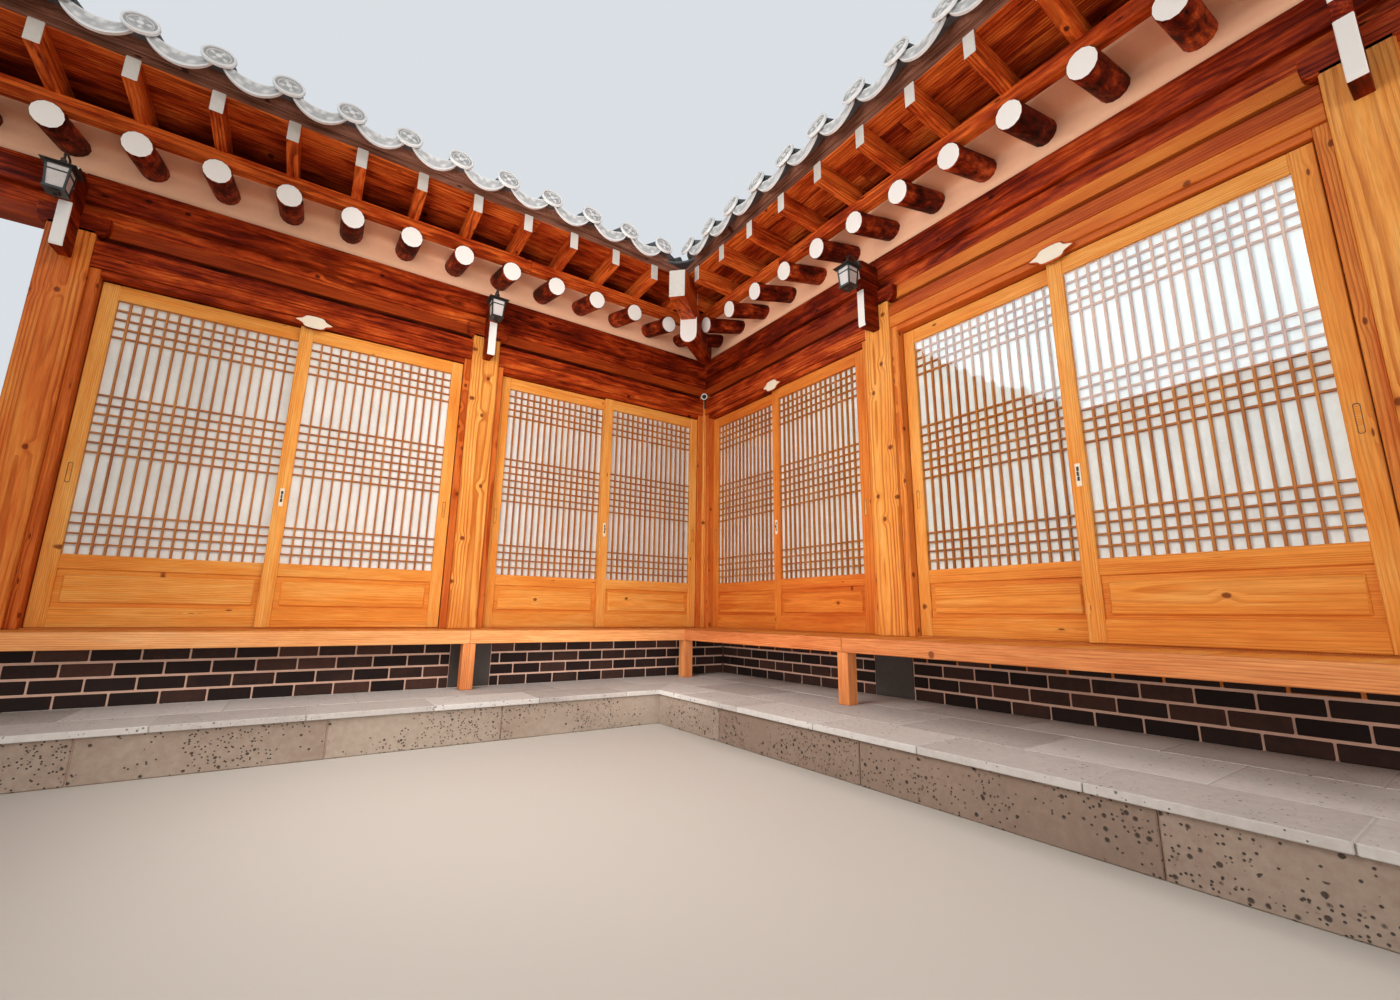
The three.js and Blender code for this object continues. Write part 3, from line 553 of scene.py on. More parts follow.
usualTimber = {"ringTint": (0.66, 0.42, 0.24), "rings": 0.5, "fibre": 0.35, "streaks": 0.5, "blotch": 0.4,
               "waviness": 0.02, "lengthwise": 1.0, "roughness": 0.5}
timbers = {
    "pine": {
        "colours": [(0.92, 0.54, 0.16), (0.8, 0.295, 0.05), (0.62, 0.145, 0.022), (0.36, 0.052, 0.008),
                    (0.15, 0.014, 0.003)],
        "knotColour": (0.15, 0.026, 0.006), "rings": 0.55, "fibre": 0.3, "streaks": 0.45, "ringWidth": 0.009,
        "knots": 0.07, "bump": 0.0012,
    },
    "post": {
        "colours": [(0.93, 0.56, 0.19), (0.82, 0.34, 0.07), (0.64, 0.16, 0.028), (0.38, 0.055, 0.009),
                    (0.17, 0.017, 0.004)],
        "ringTint": (0.55, 0.28, 0.13), "knotColour": (0.14, 0.018, 0.004), "rings": 0.8, "ringWidth": 0.011,
        "knots": 0.5, "bump": 0.0018,
    },
    "lattice": {
        "colours": [(0.8, 0.38, 0.09), (0.68, 0.25, 0.04), (0.52, 0.15, 0.018), (0.3, 0.068, 0.008),
                    (0.12, 0.02, 0.003)],
        "knotColour": (0.1, 0.02, 0.005), "rings": 0.3, "blotch": 0.5, "ringWidth": 0.006, "waviness": 0.01,
        "knots": 0.0, "roughness": 0.55, "bump": 0.0006,
    },
    "sunned": {
        "colours": [(0.97, 0.62, 0.32), (0.9, 0.41, 0.15), (0.72, 0.25, 0.085), (0.45, 0.1, 0.025),
                    (0.18, 0.02, 0.006)],
        "ringTint": (0.62, 0.38, 0.24), "knotColour": (0.2, 0.05, 0.02), "fibre": 0.4, "blotch": 0.5,
        "ringWidth": 0.01, "knots": 0.07, "roughness": 0.6, "bump": 0.0014,
    },
    "stained": {
        "colours": [(0.74, 0.15, 0.024), (0.46, 0.058, 0.009), (0.2, 0.016, 0.003), (0.03, 0.003, 0.001)],
        "ringTint": (0.22, 0.13, 0.1), "knotColour": (0.02, 0.003, 0.002), "rings": 0.75, "fibre": 0.5,
        "streaks": 1.5, "blotch": 1.3, "ringWidth": 0.018, "waviness": 0.05, "knots": 0.16,
        "lengthwise": 1.8, "roughness": 0.6, "bump": 0.003,
    },
    "log": {
        "colours": [(0.7, 0.14, 0.03), (0.38, 0.045, 0.009), (0.13, 0.01, 0.003), (0.02, 0.002, 0.001)],
        "ringTint": (0.2, 0.12, 0.1), "knotColour": (0.012, 0.002, 0.002), "fibre": 0.5, "streaks": 1.7,
        "blotch": 2.0, "ringWidth": 0.02, "waviness": 0.08, "knots": 0.4, "lengthwise": 4.0,
        "roughness": 0.6, "bump": 0.005,
    },
    "weatheredBoard": {
        "colours": [(0.42, 0.2, 0.14), (0.22, 0.088, 0.055), (0.05, 0.016, 0.01)],
        "ringTint": (0.4, 0.34, 0.34), "knotColour": (0.03, 0.01, 0.008), "rings": 0.6, "fibre": 0.6,
        "streaks": 1.3, "blotch": 0.8, "ringWidth": 0.012, "waviness": 0.03, "knots": 0.1, "roughness": 0.85,
        "bump": 0.003,
    },
}
timbers = {name: {**usualTimber, **facts} for name, facts in timbers.items()}
timbers["sillPine"] = {**timbers["pine"], "colours": [(0.62, 0.2, 0.045), (0.45, 0.1, 0.02)]}
timbers["roofFrame"] = {**timbers["stained"], "colours": [(0.3, 0.05, 0.015), (0.1, 0.012, 0.005)]}
timbers["roomFloor"] = {**timbers["pine"], "colours": [(0.62, 0.33, 0.12), (0.5, 0.22, 0.07)]}


def timberLook(name, facts, source):
    look, tree, shader = newLook(name, facts["roughness"], 0.1)
    vector = source(tree)
    tone = put(tree, "Attribute", attribute_name="tone").outputs["Fac"]
    inputs = {"Vector": vector, "Ring Width": facts["ringWidth"], "Waviness": facts["waviness"],
              "Knots": facts["knots"], "Lengthwise": facts["lengthwise"]}
    grain = useGroup(tree, timberGrain, inputs)
    shift = times(tree, calc(tree, "SUBTRACT", grain["Blotch"], 0.5), facts["blotch"])
    shift = timesPlus(tree, calc(tree, "SUBTRACT", grain["Streaks"], 0.5), facts["streaks"], shift)
    colour = ramp(tree, calc(tree, "ADD", tone, shift, clamp=True), facts["colours"])
    ringed = mixed(tree, 1.0, colour, (*facts["ringTint"], 1), "MULTIPLY")
    colour = mixed(tree, times(tree, grain["Rings"], facts["rings"]), colour, ringed)
    threads = band(tree, grain["Fibre"], 0.62, 0.3)
    threaded = mixed(tree, 1.0, colour, (0.45, 0.34, 0.28, 1), "MULTIPLY")
    colour = mixed(tree, times(tree, threads, facts["fibre"]), colour, threaded)
    colour = mixed(tree, times(tree, grain["Knots"], 0.85), colour, (*facts["knotColour"], 1))
    rough = timesPlus(tree, grain["Fibre"], 0.2, facts["roughness"] - 0.1)
    linkAll(tree, shader.inputs, {"Base Color": colour, "Roughness": rough})
    addBump(tree, shader, grain["Height"], facts["bump"])
    return look


def ownGrain(tree):
    return put(tree, "Attribute", attribute_name="grain").outputs["Vector"]


# Minerals, paints and metals

def mineral(patch, mottle, roughness, bump, *colours, **more):
    # patch: how small the patches are; mottle: how far they shift the colour
    return {"patch": patch, "mottle": mottle, "roughness": roughness, "bump": bump, "colours": colours,
            **more}


minerals = {
    "whitePaint": mineral(9.0, 0.35, 0.6, 0.0006, (0.48, 0.43, 0.38), (0.74, 0.72, 0.69), (0.82, 0.81, 0.79),
                          places=(0.0, 0.4, 1.0)),
    "plaster": mineral(1.6, 0.5, 0.85, 0.0012, (0.66, 0.33, 0.19), (0.82, 0.48, 0.31), (0.9, 0.6, 0.44)),
    "wallPlaster": mineral(1.4, 0.45, 0.85, 0.0012, (0.62, 0.5, 0.4), (0.78, 0.68, 0.58),
                           (0.84, 0.76, 0.68)),
    "brick": mineral(14.0, 0.7, 0.8, 0.0025, (0.009, 0.006, 0.006), (0.025, 0.014, 0.012),
                     (0.095, 0.04, 0.028)),
    "mortar": mineral(8.0, 0.7, 0.9, 0.002, (0.44, 0.26, 0.19), (0.68, 0.43, 0.33), (0.8, 0.6, 0.5)),
    "basalt": mineral(2.2, 0.8, 0.88, 0.004, (0.14, 0.09, 0.065), (0.27, 0.19, 0.145), (0.46, 0.38, 0.31),
                      pores=0.75, poreScale=34.0, poreColour=(0.02, 0.014, 0.011)),
    "slab": mineral(1.7, 0.8, 0.75, 0.0015, (0.3, 0.25, 0.22), (0.54, 0.5, 0.47), (0.74, 0.71, 0.68),
                    pores=0.22, poreScale=46.0, poreColour=(0.08, 0.07, 0.065)),
    "jointing": mineral(6.0, 0.5, 0.9, 0.001, (0.4, 0.36, 0.32), (0.62, 0.57, 0.52)),
    "concrete": mineral(5.0, 0.6, 0.85, 0.002, (0.03, 0.026, 0.024), (0.13, 0.11, 0.1)),
    "roofTile": mineral(2.5, 0.8, 0.62, 0.0015, (0.045, 0.047, 0.052), (0.1, 0.105, 0.115),
                        (0.2, 0.205, 0.215), dust=0.35, dustColour=(0.3, 0.3, 0.29)),
    "tileEnd": mineral(12.0, 0.35, 0.7, 0.0012, (0.2, 0.2, 0.21), (0.56, 0.57, 0.58), (0.88, 0.89, 0.9),
                       places=(0.0, 0.4, 1.0)),
    "earth": mineral(5.0, 0.6, 0.9, 0.002, (0.03, 0.025, 0.02), (0.1, 0.08, 0.065)),
    "iron": mineral(20.0, 0.4, 0.42, 0.0004, (0.008, 0.008, 0.008), (0.03, 0.028, 0.026), specular=0.6),
    "pane": mineral(10.0, 0.5, 0.3, 0.0002, (0.4, 0.35, 0.33), (0.72, 0.68, 0.66), specular=0.5),
    "ivory": mineral(14.0, 0.4, 0.5, 0.0003, (0.66, 0.53, 0.36), (0.84, 0.76, 0.62)),
    "whiteMetal": mineral(14.0, 0.3, 0.35, 0.0002, (0.5, 0.48, 0.46), (0.75, 0.74, 0.72)),
}


def mineralLook(name, facts):
    look, tree, shader = newLook(name, facts["roughness"], facts.get("specular", 0.4))
    wear = useGroup(tree, weather, {"Scale": facts["patch"], "Dust": facts.get("dust", 0.0)})
    tone = put(tree, "Attribute", attribute_name="tone").outputs["Fac"]
    spread = times(tree, calc(tree, "SUBTRACT", wear["Mottle"], 0.5), facts["mottle"])
    colour = ramp(tree, calc(tree, "ADD", tone, spread, clamp=True), facts["colours"], facts.get("places"))
    if "dust" in facts:
        colour = mixed(tree, wear["Dust"], colour, (*facts["dustColour"], 1))
    height = wear["Mottle"]
    if "pores" in facts:
        holes = useGroup(tree, pores, {"Pore Scale": facts["poreScale"], "Amount": facts["pores"]})
        colour = mixed(tree, times(tree, holes["Pores"], 0.85), colour, (*facts["poreColour"], 1))
        height = holes["Height"]
    rough = timesPlus(tree, wear["Mottle"], 0.2, facts["roughness"] - 0.1, clamp=True)
    linkAll(tree, shader.inputs, {"Base Color": colour, "Roughness": rough})
    addBump(tree, shader, height, facts["bump"])
    return look


def paperLook():
    look, tree, shader = newLook("paper", 0.9, 0.2)
    position = worldPoint(tree)
    cloud = noise(tree, position, 7.0, 4.0, 0.6)
    threads = noise(tree, position, 55.0, 4.0, 0.75, 1.6)
    colour = ramp(tree, cloud, [(0.84, 0.79, 0.74), (0.96, 0.93, 0.9)], (0.25, 0.75))
    shown = times(tree, band(tree, threads, 0.52, 0.66), 0.55)
    linkAll(tree, shader.inputs, {"Base Color": mixed(tree, shown, colour, (0.99, 0.98, 0.97, 1))})
    addBump(tree, shader, threads, 0.0006)
    return look


def glassLook():
    look, tree, shader = newLook("glass", 0.03)
    shader.inputs["Transmission Weight"].default_value = 1.0
    shader.inputs["IOR"].default_value = 1.4
    film = noise(tree, worldPoint(tree), 2.5, 3.0)
    colour = ramp(tree, film, [(0.93, 0.96, 0.95), (0.98, 1.0, 0.99)], (0.3, 0.7))
    shadow = put(tree, "LightPath").outputs["Is Shadow Ray"]     # panes cast no shadow on the paper behind
    linkAll(tree, shader.inputs, {"Base Color": colour, "Alpha": calc(tree, "SUBTRACT", 1.0, shadow)})
    return look


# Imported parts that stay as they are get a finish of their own

dressed = {"back_court_sill": "sillPine", "side_court_sill": "sillPine", "back_roof_frame": "roofFrame",
           "side_roof_frame": "roofFrame", "room_floor": "roomFloor"}
looks = {}
for name, facts in timbers.items():
    looks[name] = timberLook(name, facts, worldPoint if name in dressed.values() else ownGrain)
looks.update({name: mineralLook(name, facts) for name, facts in minerals.items()})
looks["paper"], looks["glass"] = paperLook(), glassLook()
for node, finish in dressed.items():
    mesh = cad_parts[node].data
    mesh.materials.clear()
    mesh.materials.append(looks[finish])
print("materials made:", len(bpy.data.materials))


# Doors: each leaf has its own frame, lattice, panel, glass, paper and latch

door = {
    "thick": 0.036, "gap": 0.01, "bottom": 0.608, "top": 2.69, "overlap": 0.08, "endGap": 0.005,
    "jamb": 0.05,
    "jambY": (-0.015, 0.1), "stile": 0.08, "topRail": 0.098, "sashBottom": 1.02, "midRail": 0.936,
    "bottomRail": 0.722, "columns": 16, "barWide": 0.0105, "barHigh": 0.0095, "barDeep": 0.0205,
    "glassAt": 0.0075, "glassThick": 0.004, "latticeAt": 0.0125, "rebate": 0.004, "paperThick": 0.0012,
    "fieldEdge": 0.03, "field": (0.745, 0.905),
    "rows": [1.082, 1.141, 1.200, 1.259, 1.625, 1.684, 1.743, 1.802, 1.861, 1.920, 1.979,
             2.356, 2.415, 2.474, 2.533],
    # latch on the meeting stile: plate, two keepers, lever; pull on the other stile
    "latch": (1.396, 1.518), "keepers": (1.425, 1.478), "keeperHigh": 0.022, "lever": (1.45, 1.474),
    "pull": 1.488, "pullHalf": (0.009, 0.059),
}


def doorZones(wing):
    inset = house["postHalf"] + door["jamb"]
    inner, end = house["innerPost"], wing["end"]
    return [(inner + inset, house["postCentre"] - inset), (end + inset, inner - inset)]


def leafSpan(zone, atCorner):
    width = (zone[1] - zone[0] - 2 * door["endGap"] + door["overlap"]) / 2
    x0 = zone[1] - door["endGap"] - width if atCorner else zone[0] + door["endGap"]
    return x0, x0 + width


def roundedLoop(halfWide, halfHigh, steps):
    # an upright slot with half round ends
    points = []
    for angle in circle(steps):
        u, v = halfWide * math.cos(angle), halfWide * math.sin(angle)
        points.append((u, v + math.copysign(halfHigh - halfWide, v if abs(v) > 1e-9 else 1)))
    return points


def makeLeaf(wing, number, zone, atCorner, inFront):
    dice = random.Random(wing["seed"] * 100 + number * 10 + inFront)
    d, (x0, x1) = door, leafSpan(zone, atCorner)
    y0 = 0.0 if inFront else d["thick"] + d["gap"]
    y = (y0, y0 + d["thick"])
    ending = f"{number}_{'front' if inFront else 'rear'}"
    body, title = f"{wing['name']}_leaf_{ending}", f"{wing['name']}_door_{ending}"
    wood, glass, paper, hand = [newPart(dice, wing, mitre=False) for k in range(4)]
    inner = inside((x0, x1), d["stile"])
    warm = wing["leafTones"][number - 1] + dice.uniform(-0.04, 0.04)
    for x in ((x0, inner[0]), (inner[1], x1)):
        board(wood, x, y, (d["bottom"], d["top"]), "z", 0.003, warm + dice.uniform(-0.04, 0.03))
    high = d["top"] - d["topRail"]
    for z, deeper in (((high, d["top"]), 0.0), ((d["midRail"], d["sashBottom"]), 0.03),
                      ((d["bottom"], d["bottomRail"]), 0.02)):
        board(wood, inner, inside(y, 0.001), z, "x", 0.003, warm + deeper + dice.uniform(-0.03, 0.03))
    panel = inside((d["bottomRail"], d["midRail"]), -d["rebate"])
    board(wood, inner, inside(y, 0.014), panel, "x", 0.001, warm + 0.1)
    field = d["field"]
    board(wood, inside(inner, d["fieldEdge"]), inside(y, 0.003), field, "x", 0.007,
          warm + dice.uniform(0.0, 0.06), pith=(y0 + 0.12, field[0] + dice.uniform(-0.1, 0.2)))
    front = y0 + d["latticeAt"]
    back = front + d["barDeep"]
    light = (d["sashBottom"], high)
    pitch = (inner[1] - inner[0]) / d["columns"]
    for k in range(1, d["columns"]):
        board(wood, about(inner[0] + k * pitch, d["barWide"] / 2), (front, back), light, "z", 0.0012,
              0.5 + dice.uniform(-0.08, 0.08), 1)
    for z in d["rows"]:
        board(wood, inner, (front + 0.001, back), about(z, d["barHigh"] / 2), "x", 0.0012,
              0.54 + dice.uniform(-0.08, 0.08), 1)
    finishPart(wood, f"{title}_timber", "pine", "pine lattice", title, body=body)
    paneX, paneZ = inside(inner, -d["rebate"]), inside(light, -d["rebate"])
    pane = y0 + d["glassAt"]
    board(glass, paneX, (pane, pane + d["glassThick"]), paneZ, "z", 0.0004)
    finishPart(glass, f"{title}_glass", "glass", "glass", body=body)
    board(paper, paneX, (back, back + d["paperThick"]), paneZ, "z", 0.0002)
    finishPart(paper, f"{title}_paper", "paper", "paper", body=body)
    outer, meet = x0 + d["stile"] / 2, x1 - d["stile"] / 2
    if atCorner:
        outer, meet = meet, outer
    if inFront:
        board(hand, about(meet, 0.0125), (y0 - 0.003, y0 + 0.001), d["latch"], "z", 0.0012, 0.7)
        for z in d["keepers"]:
            board(hand, about(meet, 0.006), (y0 - 0.0045, y0), (z, z + d["keeperHigh"]), "z", 0.001, 0.3, 1)
        board(hand, about(meet, 0.004), (y0 - 0.012, y0 - 0.003), d["lever"], "z", 0.0015, 0.3, 1)
    rim = [[(outer + u * scale, y0 + depth, d["pull"] + v + (scale - 1) * 0.012 * np.sign(v))
            for u, v in roundedLoop(*d["pullHalf"], 16)]
           for depth, scale in ((-0.0002, 1.16), (-0.0016, 1.16), (-0.0016, 1.0), (0.0, 0.92), (0.0, 0.5))]
    loft(hand, rim, 0.25, 1, (2, 2), False)
    finishPart(hand, f"{title}_fittings", "iron", "ivory iron pine", body=body)


# Posts, beam ends and the block on each post

postFacts = {
    "pithAt": 0.09, "seat": 0.0147,
    "bracketBottom": 2.741, "bracketTop": 3.02, "bracketFront": -0.2, "bracketBack": -0.036,
    "bracketHalf": 0.029, "headTop": 3.25, "headFront": -0.24, "headBack": -0.0305, "headHalf": 0.028,
    "blockBottom": 2.941, "blockTop": 3.06, "blockHalf": 0.155, "blockCurve": 0.06,
}


def bend(outline, control, end, steps=5):
    # goes on from the last point of an outline in a curve
    start = outline[-1]
    for k in range(1, steps + 1):
        t = k / steps
        outline.append(tuple((1 - t) ** 2 * a + 2 * t * (1 - t) * b + t * t * c
                             for a, b, c in zip(start, control, end)))


def makeBeamEnd(part, x):
    f = postFacts
    front, low, high = f["bracketFront"], f["bracketBottom"], f["bracketTop"]
    tip, top = f["headFront"], f["headTop"]
    bracket = [(f["bracketBack"], low + 0.012), (front + 0.022, low)]
    bend(bracket, (front, low), (front, low + 0.03), 3)
    bracket += [(front, high), (f["bracketBack"], high)]
    slab(part, bracket, "x", about(x, f["bracketHalf"]), "y", 0.003, 0.62, 1, {2, 3, 4}, 2)
    nose = [(f["headBack"], high - 0.001), (f["headBack"], top), (tip + 0.05, top)]
    bend(nose, (tip, top), (tip, top - 0.07), 4)
    bend(nose, (tip, high + 0.06), (tip + 0.042, high - 0.001), 4)
    slab(part, nose, "x", about(x, f["headHalf"]), "y", 0.003, 0.66, 1, range(2, 8), 2)


def makeHeadBlock(part, x):
    f = postFacts
    left, right = about(x, f["blockHalf"])
    low, high, reach = f["blockBottom"], f["blockTop"], f["blockCurve"]
    outline = [(left, high), (left, low + reach)]
    bend(outline, (left, low), (left + reach, low))
    outline += [(right - reach, low)]
    bend(outline, (right, low), (right, low + reach))
    outline += [(right, high)]
    slab(part, outline, "y", (house["postFront"], f["seat"]), "x", 0.004, 0.45, 1)


def makePost(wing, x, sides, name, tone):
    part = newPart(random.Random(wing["seed"] + int(-x * 10)), wing, mitre=False)
    half, low = house["postHalf"], house["floorTop"] + hair
    board(part, about(x, half), (house["postFront"], house["postBack"]), (low, house["postTop"]), "z", 0.006,
          tone, pith=(x + 0.025, postFacts["pithAt"]))
    for towards in sides:
        edge = sorted((x + towards * half, x + towards * (half + door["jamb"])))
        board(part, edge, door["jambY"], (low, house["jambTop"] - hair), "z", 0.004, wing["jambTone"])
    makeBeamEnd(part, x)
    makeHeadBlock(part, x)
    finishPart(part, f"{name}_timber", "pine", "post stained whitePaint", name)


# Beams over the doors

def makeLintel(wing, number, zone):
    part = newPart(random.Random(wing["seed"] + 300 + number), wing, mitre=False)
    x, clear = inside(zone, hair - door["jamb"]), inside(zone, hair)
    upper, lower = wing["lintelTones"][number - 1]
    low, top = house["jambTop"], house["lintelTop"]
    middle = low + 0.082
    board(part, x, (-0.03, 0.15), (low + 0.001, middle), "x", 0.004, lower)
    board(part, x, (-0.032, 0.15), (middle + 0.0005, top), "x", 0.004, upper, pith=(0.1, middle - 0.05))
    board(part, clear, door["jambY"], (low - 0.04, low - 0.001), "x", 0.003, lower + 0.1)
    # a board set back in the gap over the lintel, given the darkest stained tone: painted shade of that
    # recess
    board(part, x, (0.04, 0.14), (top + hair, house["postTop"]), "x", 0.002, 0.9)
    name = f"{wing['name']}_lintel_{number}"
    finishPart(part, f"{name}_timber", "pine", "pine" if name == "side_lintel_2" else "stained", name)


purlin = {"strip": (0.013, 0.135), "stripTop": 3.05, "plate": (0.0155, 0.135), "beam": (-0.03, 0.165),
          "heart": 3.2}


def placeName(wing, outer):
    return f"{wing['name']}_{'outer' if outer else 'court'}"


def makePurlin(wing, outer):
    dice = random.Random(wing["seed"] + 400 + outer)
    part = newPart(dice, wing, outer)
    stops = [wing["gable"] + 0.04, wing["end"], house["innerPost"], cornerReach(outer, *purlin["beam"])]
    # the strip's tone paints light: pale on the side wing's courtyard face where sun falls, darker in the
    # corner bays, painted shade
    tones = ((0.46, 0.34, 0.52), (0.46, 0.34, 0.52), (0.85, 0.55, 0.64))
    for (stripSunShadeTone, dark, beam), ends in zip(tones, zip(stops, stops[1:])):
        x = inside(ends, 0.0008)
        # a darker strip: painted shade on the back wing, and the same dark tone on the outer sides
        if wing["name"] == "back" or outer:
            stripSunShadeTone = 0.85
        board(part, x, purlin["strip"], (house["postTop"] + hair, purlin["stripTop"]), "x", 0.003, stripSunShadeTone, 0)
        board(part, x, purlin["plate"], (purlin["stripTop"] + 0.001, house["plateTop"]), "x", 0.003, dark, 1)
        board(part, x, purlin["beam"], (house["plateTop"] + 0.0005, house["purlinTop"]), "x", 0.007, beam, 1,
              pith=(0.05 + dice.uniform(-0.03, 0.03), purlin["heart"]))
    name = f"{placeName(wing, outer)}_purlin"
    finishPart(part, f"{name}_timber", "stained_timber", "pine stained", name)


# Eaves: round rafters, flying rafters, boards and the plaster between them

eaves = {
    "sides": 14, "rings": 11, "endCut": 0.0035, "flyHalf": 0.0315, "flyInner": 0.1, "boardThick": 0.02,
    "plasterLift": 0.047, "plasterFront": -0.358, "plasterBack": 0.03, "boards": (-0.765, -0.33),
    "boardRows": 3,
    "eaveBoard": (-0.43, -0.355), "tileBoard": (-0.77, -0.705), "scallop": 0.055, "tileBoardPeak": 3.802,
}


def cornerReach(outer, y0, y1):
    # how far along the wing a part between y0 and y1 goes before it meets the other wing
    return house["span"] - y0 if outer else y1


def rafterPlaces(wing, outer):
    x = wing["rafterStart"] + (10 * wing["rafterPitch"] if outer else 0)
    places = []
    while x > wing["gable"] + slope["rafterRadius"]:
        places.append(x)
        x -= wing["rafterPitch"]
    return places


def makeLog(part, x, y0, y1):
    dice, cut, lean = part["dice"], eaves["endCut"], math.atan(slope["rafter"])
    start = np.array([x, y0, rafterZ(y0)])
    ahead, up = np.array([0, math.cos(lean), math.sin(lean)]), np.array([0, -math.sin(lean), math.cos(lean)])
    wide = np.array([1.0, 0, 0])
    phases = [dice.uniform(0, anyTurn) for k in range(4)]
    shift = dice.uniform(0, grainReach)
    rings, grain = [], []
    for n, s in enumerate([0, cut, *np.linspace(0.02, (y1 - y0) / math.cos(lean), eaves["rings"])]):
        r0 = slope["rafterRadius"] - (cut if n == 0 else 0) + 0.0015 * s
        bow = 0.003 * math.sin(s * 2.1 + phases[0]), 0.002 * math.sin(s * 2.7 + phases[1])
        ring, inner = [], []
        for a in circle(eaves["sides"]):
            waves = math.sin(2 * a + phases[2] + s * 3), math.sin(3 * a + phases[3] - s * 6)
            bump = 0.0016 * waves[0] + 0.0012 * waves[1]
            r = r0 + (0.4 if n < 2 else 1.0) * bump + dice.uniform(-0.0006, 0.0006)
            u, v = r * math.cos(a), r * math.sin(a)
            ring.append(start + ahead * s + wide * (u + bow[0]) + up * (v + bow[1]))
            inner.append((s + shift, u + 0.03, v))
        rings.append(ring)
        grain.append(inner)
    loft(part, rings, 0.55 + dice.uniform(-0.14, 0.16), 0, (1, 0), True, grain)


def makeRafters(wing, outer):
    dice = random.Random(wing["seed"] + 500 + outer)
    name, places = placeName(wing, outer), rafterPlaces(wing, outer)
    logs, boards = newPart(dice, wing, outer), newPart(dice, wing, outer)
    for x in places:
        y0, y1 = slope["rafterEndY"], slope["rafterInnerY"]
        if outer:
            y1 = min(y1, house["span"] - x - 0.12)
        else:
            y0 = max(y0, x + 0.05)
        makeLog(logs, x, y0, y1)
    finishPart(logs, f"{name}_rafters", "stained_timber", "log whitePaint", f"{name}_eaves")
    back = eaves["eaveBoard"][1] + 0.06
    for x in places:
        tip, end = slope["flyEndY"], eaves["flyInner"]
        if outer:
            end = min(end, house["span"] - x - 0.11)
        else:
            tip = max(tip, x + 0.07)
        if tip > back - 0.1 or end < back:
            continue
        outline = [(tip, flyUnder(tip)), (back, flyUnder(back)), (end, flyTop(end) - 0.001),
                   (tip, flyTop(tip))]
        slab(boards, outline, "x", about(x, eaves["flyHalf"]), "y", 0.003, 0.12 + dice.uniform(-0.1, 0.14),
             0, {3})
    makeEaveBoards(boards, wing, outer)
    finishPart(boards, f"{name}_eave_boards", "stained_timber", "stained whitePaint")
    makeTileBoard(wing, outer, dice)
    makeEavePlaster(wing, outer, dice)


def makeEaveBoards(part, wing, outer):
    dice, start = part["dice"], wing["gable"]
    (y0, y1), rows = eaves["boards"], eaves["boardRows"]
    for k in range(rows):
        ya, yb = y0 + (y1 - y0) * k / rows, y0 + (y1 - y0) * (k + 1) / rows
        for ends in splitLengths(dice, start, cornerReach(outer, ya, yb), 1.8, 3.4):
            z = flyTop((ya + yb) / 2) - 0.008 + dice.uniform(-0.001, 0.001)
            board(part, inside(ends, 0.0008), inside((ya, yb), 0.0012), (z, z + eaves["boardThick"]), "x",
                  0.003, 0.24 + 0.08 * k + dice.uniform(-0.16, 0.16), lean=slope["fly"])
    yb = deckMeeting()
    z = flyTop((y1 + yb) / 2) - 0.006
    board(part, (start, cornerReach(outer, y1, yb)), (y1, yb), (z, z + 0.018), "x", 0.002, 0.6,
          lean=slope["fly"])
    for ends in splitLengths(dice, start, cornerReach(outer, *eaves["eaveBoard"]), 2.4, 3.8):
        board(part, inside(ends, 0.0006), eaves["eaveBoard"],
              (slope["rafterEndZ"] + 0.06, slope["flyBottom"]), "x", 0.005, 0.2 + dice.uniform(-0.06, 0.1))
    ya, yb = slope["rafterEndY"], slope["rafterInnerY"]
    z = rafterZ((ya + yb) / 2) + slope["deckLow"]
    board(part, (start, cornerReach(outer, ya, yb)), (ya + 0.08, yb - hair), (z, z + 0.035), "x", 0.002, 0.5,
          lean=slope["rafter"])


def makeTileBoard(wing, outer, dice):
    part = newPart(dice, wing, outer)
    a, b = eaves["tileBoard"]
    low = flyTop(a) - 0.004
    for ends in splitLengths(dice, wing["gable"], cornerReach(outer, a, b), 2.6, 3.8):
        x0, x1 = inside(ends, 0.0006)
        board(part, (x0, x1), (a + 0.004, b), (low, low + 0.052), "x", 0.004,
              0.35 + dice.uniform(-0.1, 0.15))
        xs = np.linspace(x0, x1, max(2, int((ends[1] - ends[0]) / 0.025)))
        phase = (xs - wing["tileStart"]) / wing["tilePitch"]
        spread = 2 * np.abs(phase - np.round(phase))          # 0 under a round tile, 1 between two
        top = eaves["tileBoardPeak"] - eaves["scallop"] * (1 - (1 - spread) ** 2)
        shift, pith = dice.uniform(0, grainReach), low + dice.uniform(-0.1, 0.2)
        seam = low + 0.053
        rings = np.array([[(x, a, seam), (x, b, seam), (x, b, t), (x, a - 0.031, t),
                           (x, a - 0.034, t - 0.003)]
                          for x, t in zip(xs, top)])
        loft(part, rings, 0.4 + dice.uniform(-0.12, 0.12), 0, smooth=False,
             grain=rings + (shift, 0.1, -pith))
    finishPart(part, f"{placeName(wing, outer)}_tile_board", "weathered_board", "weatheredBoard")


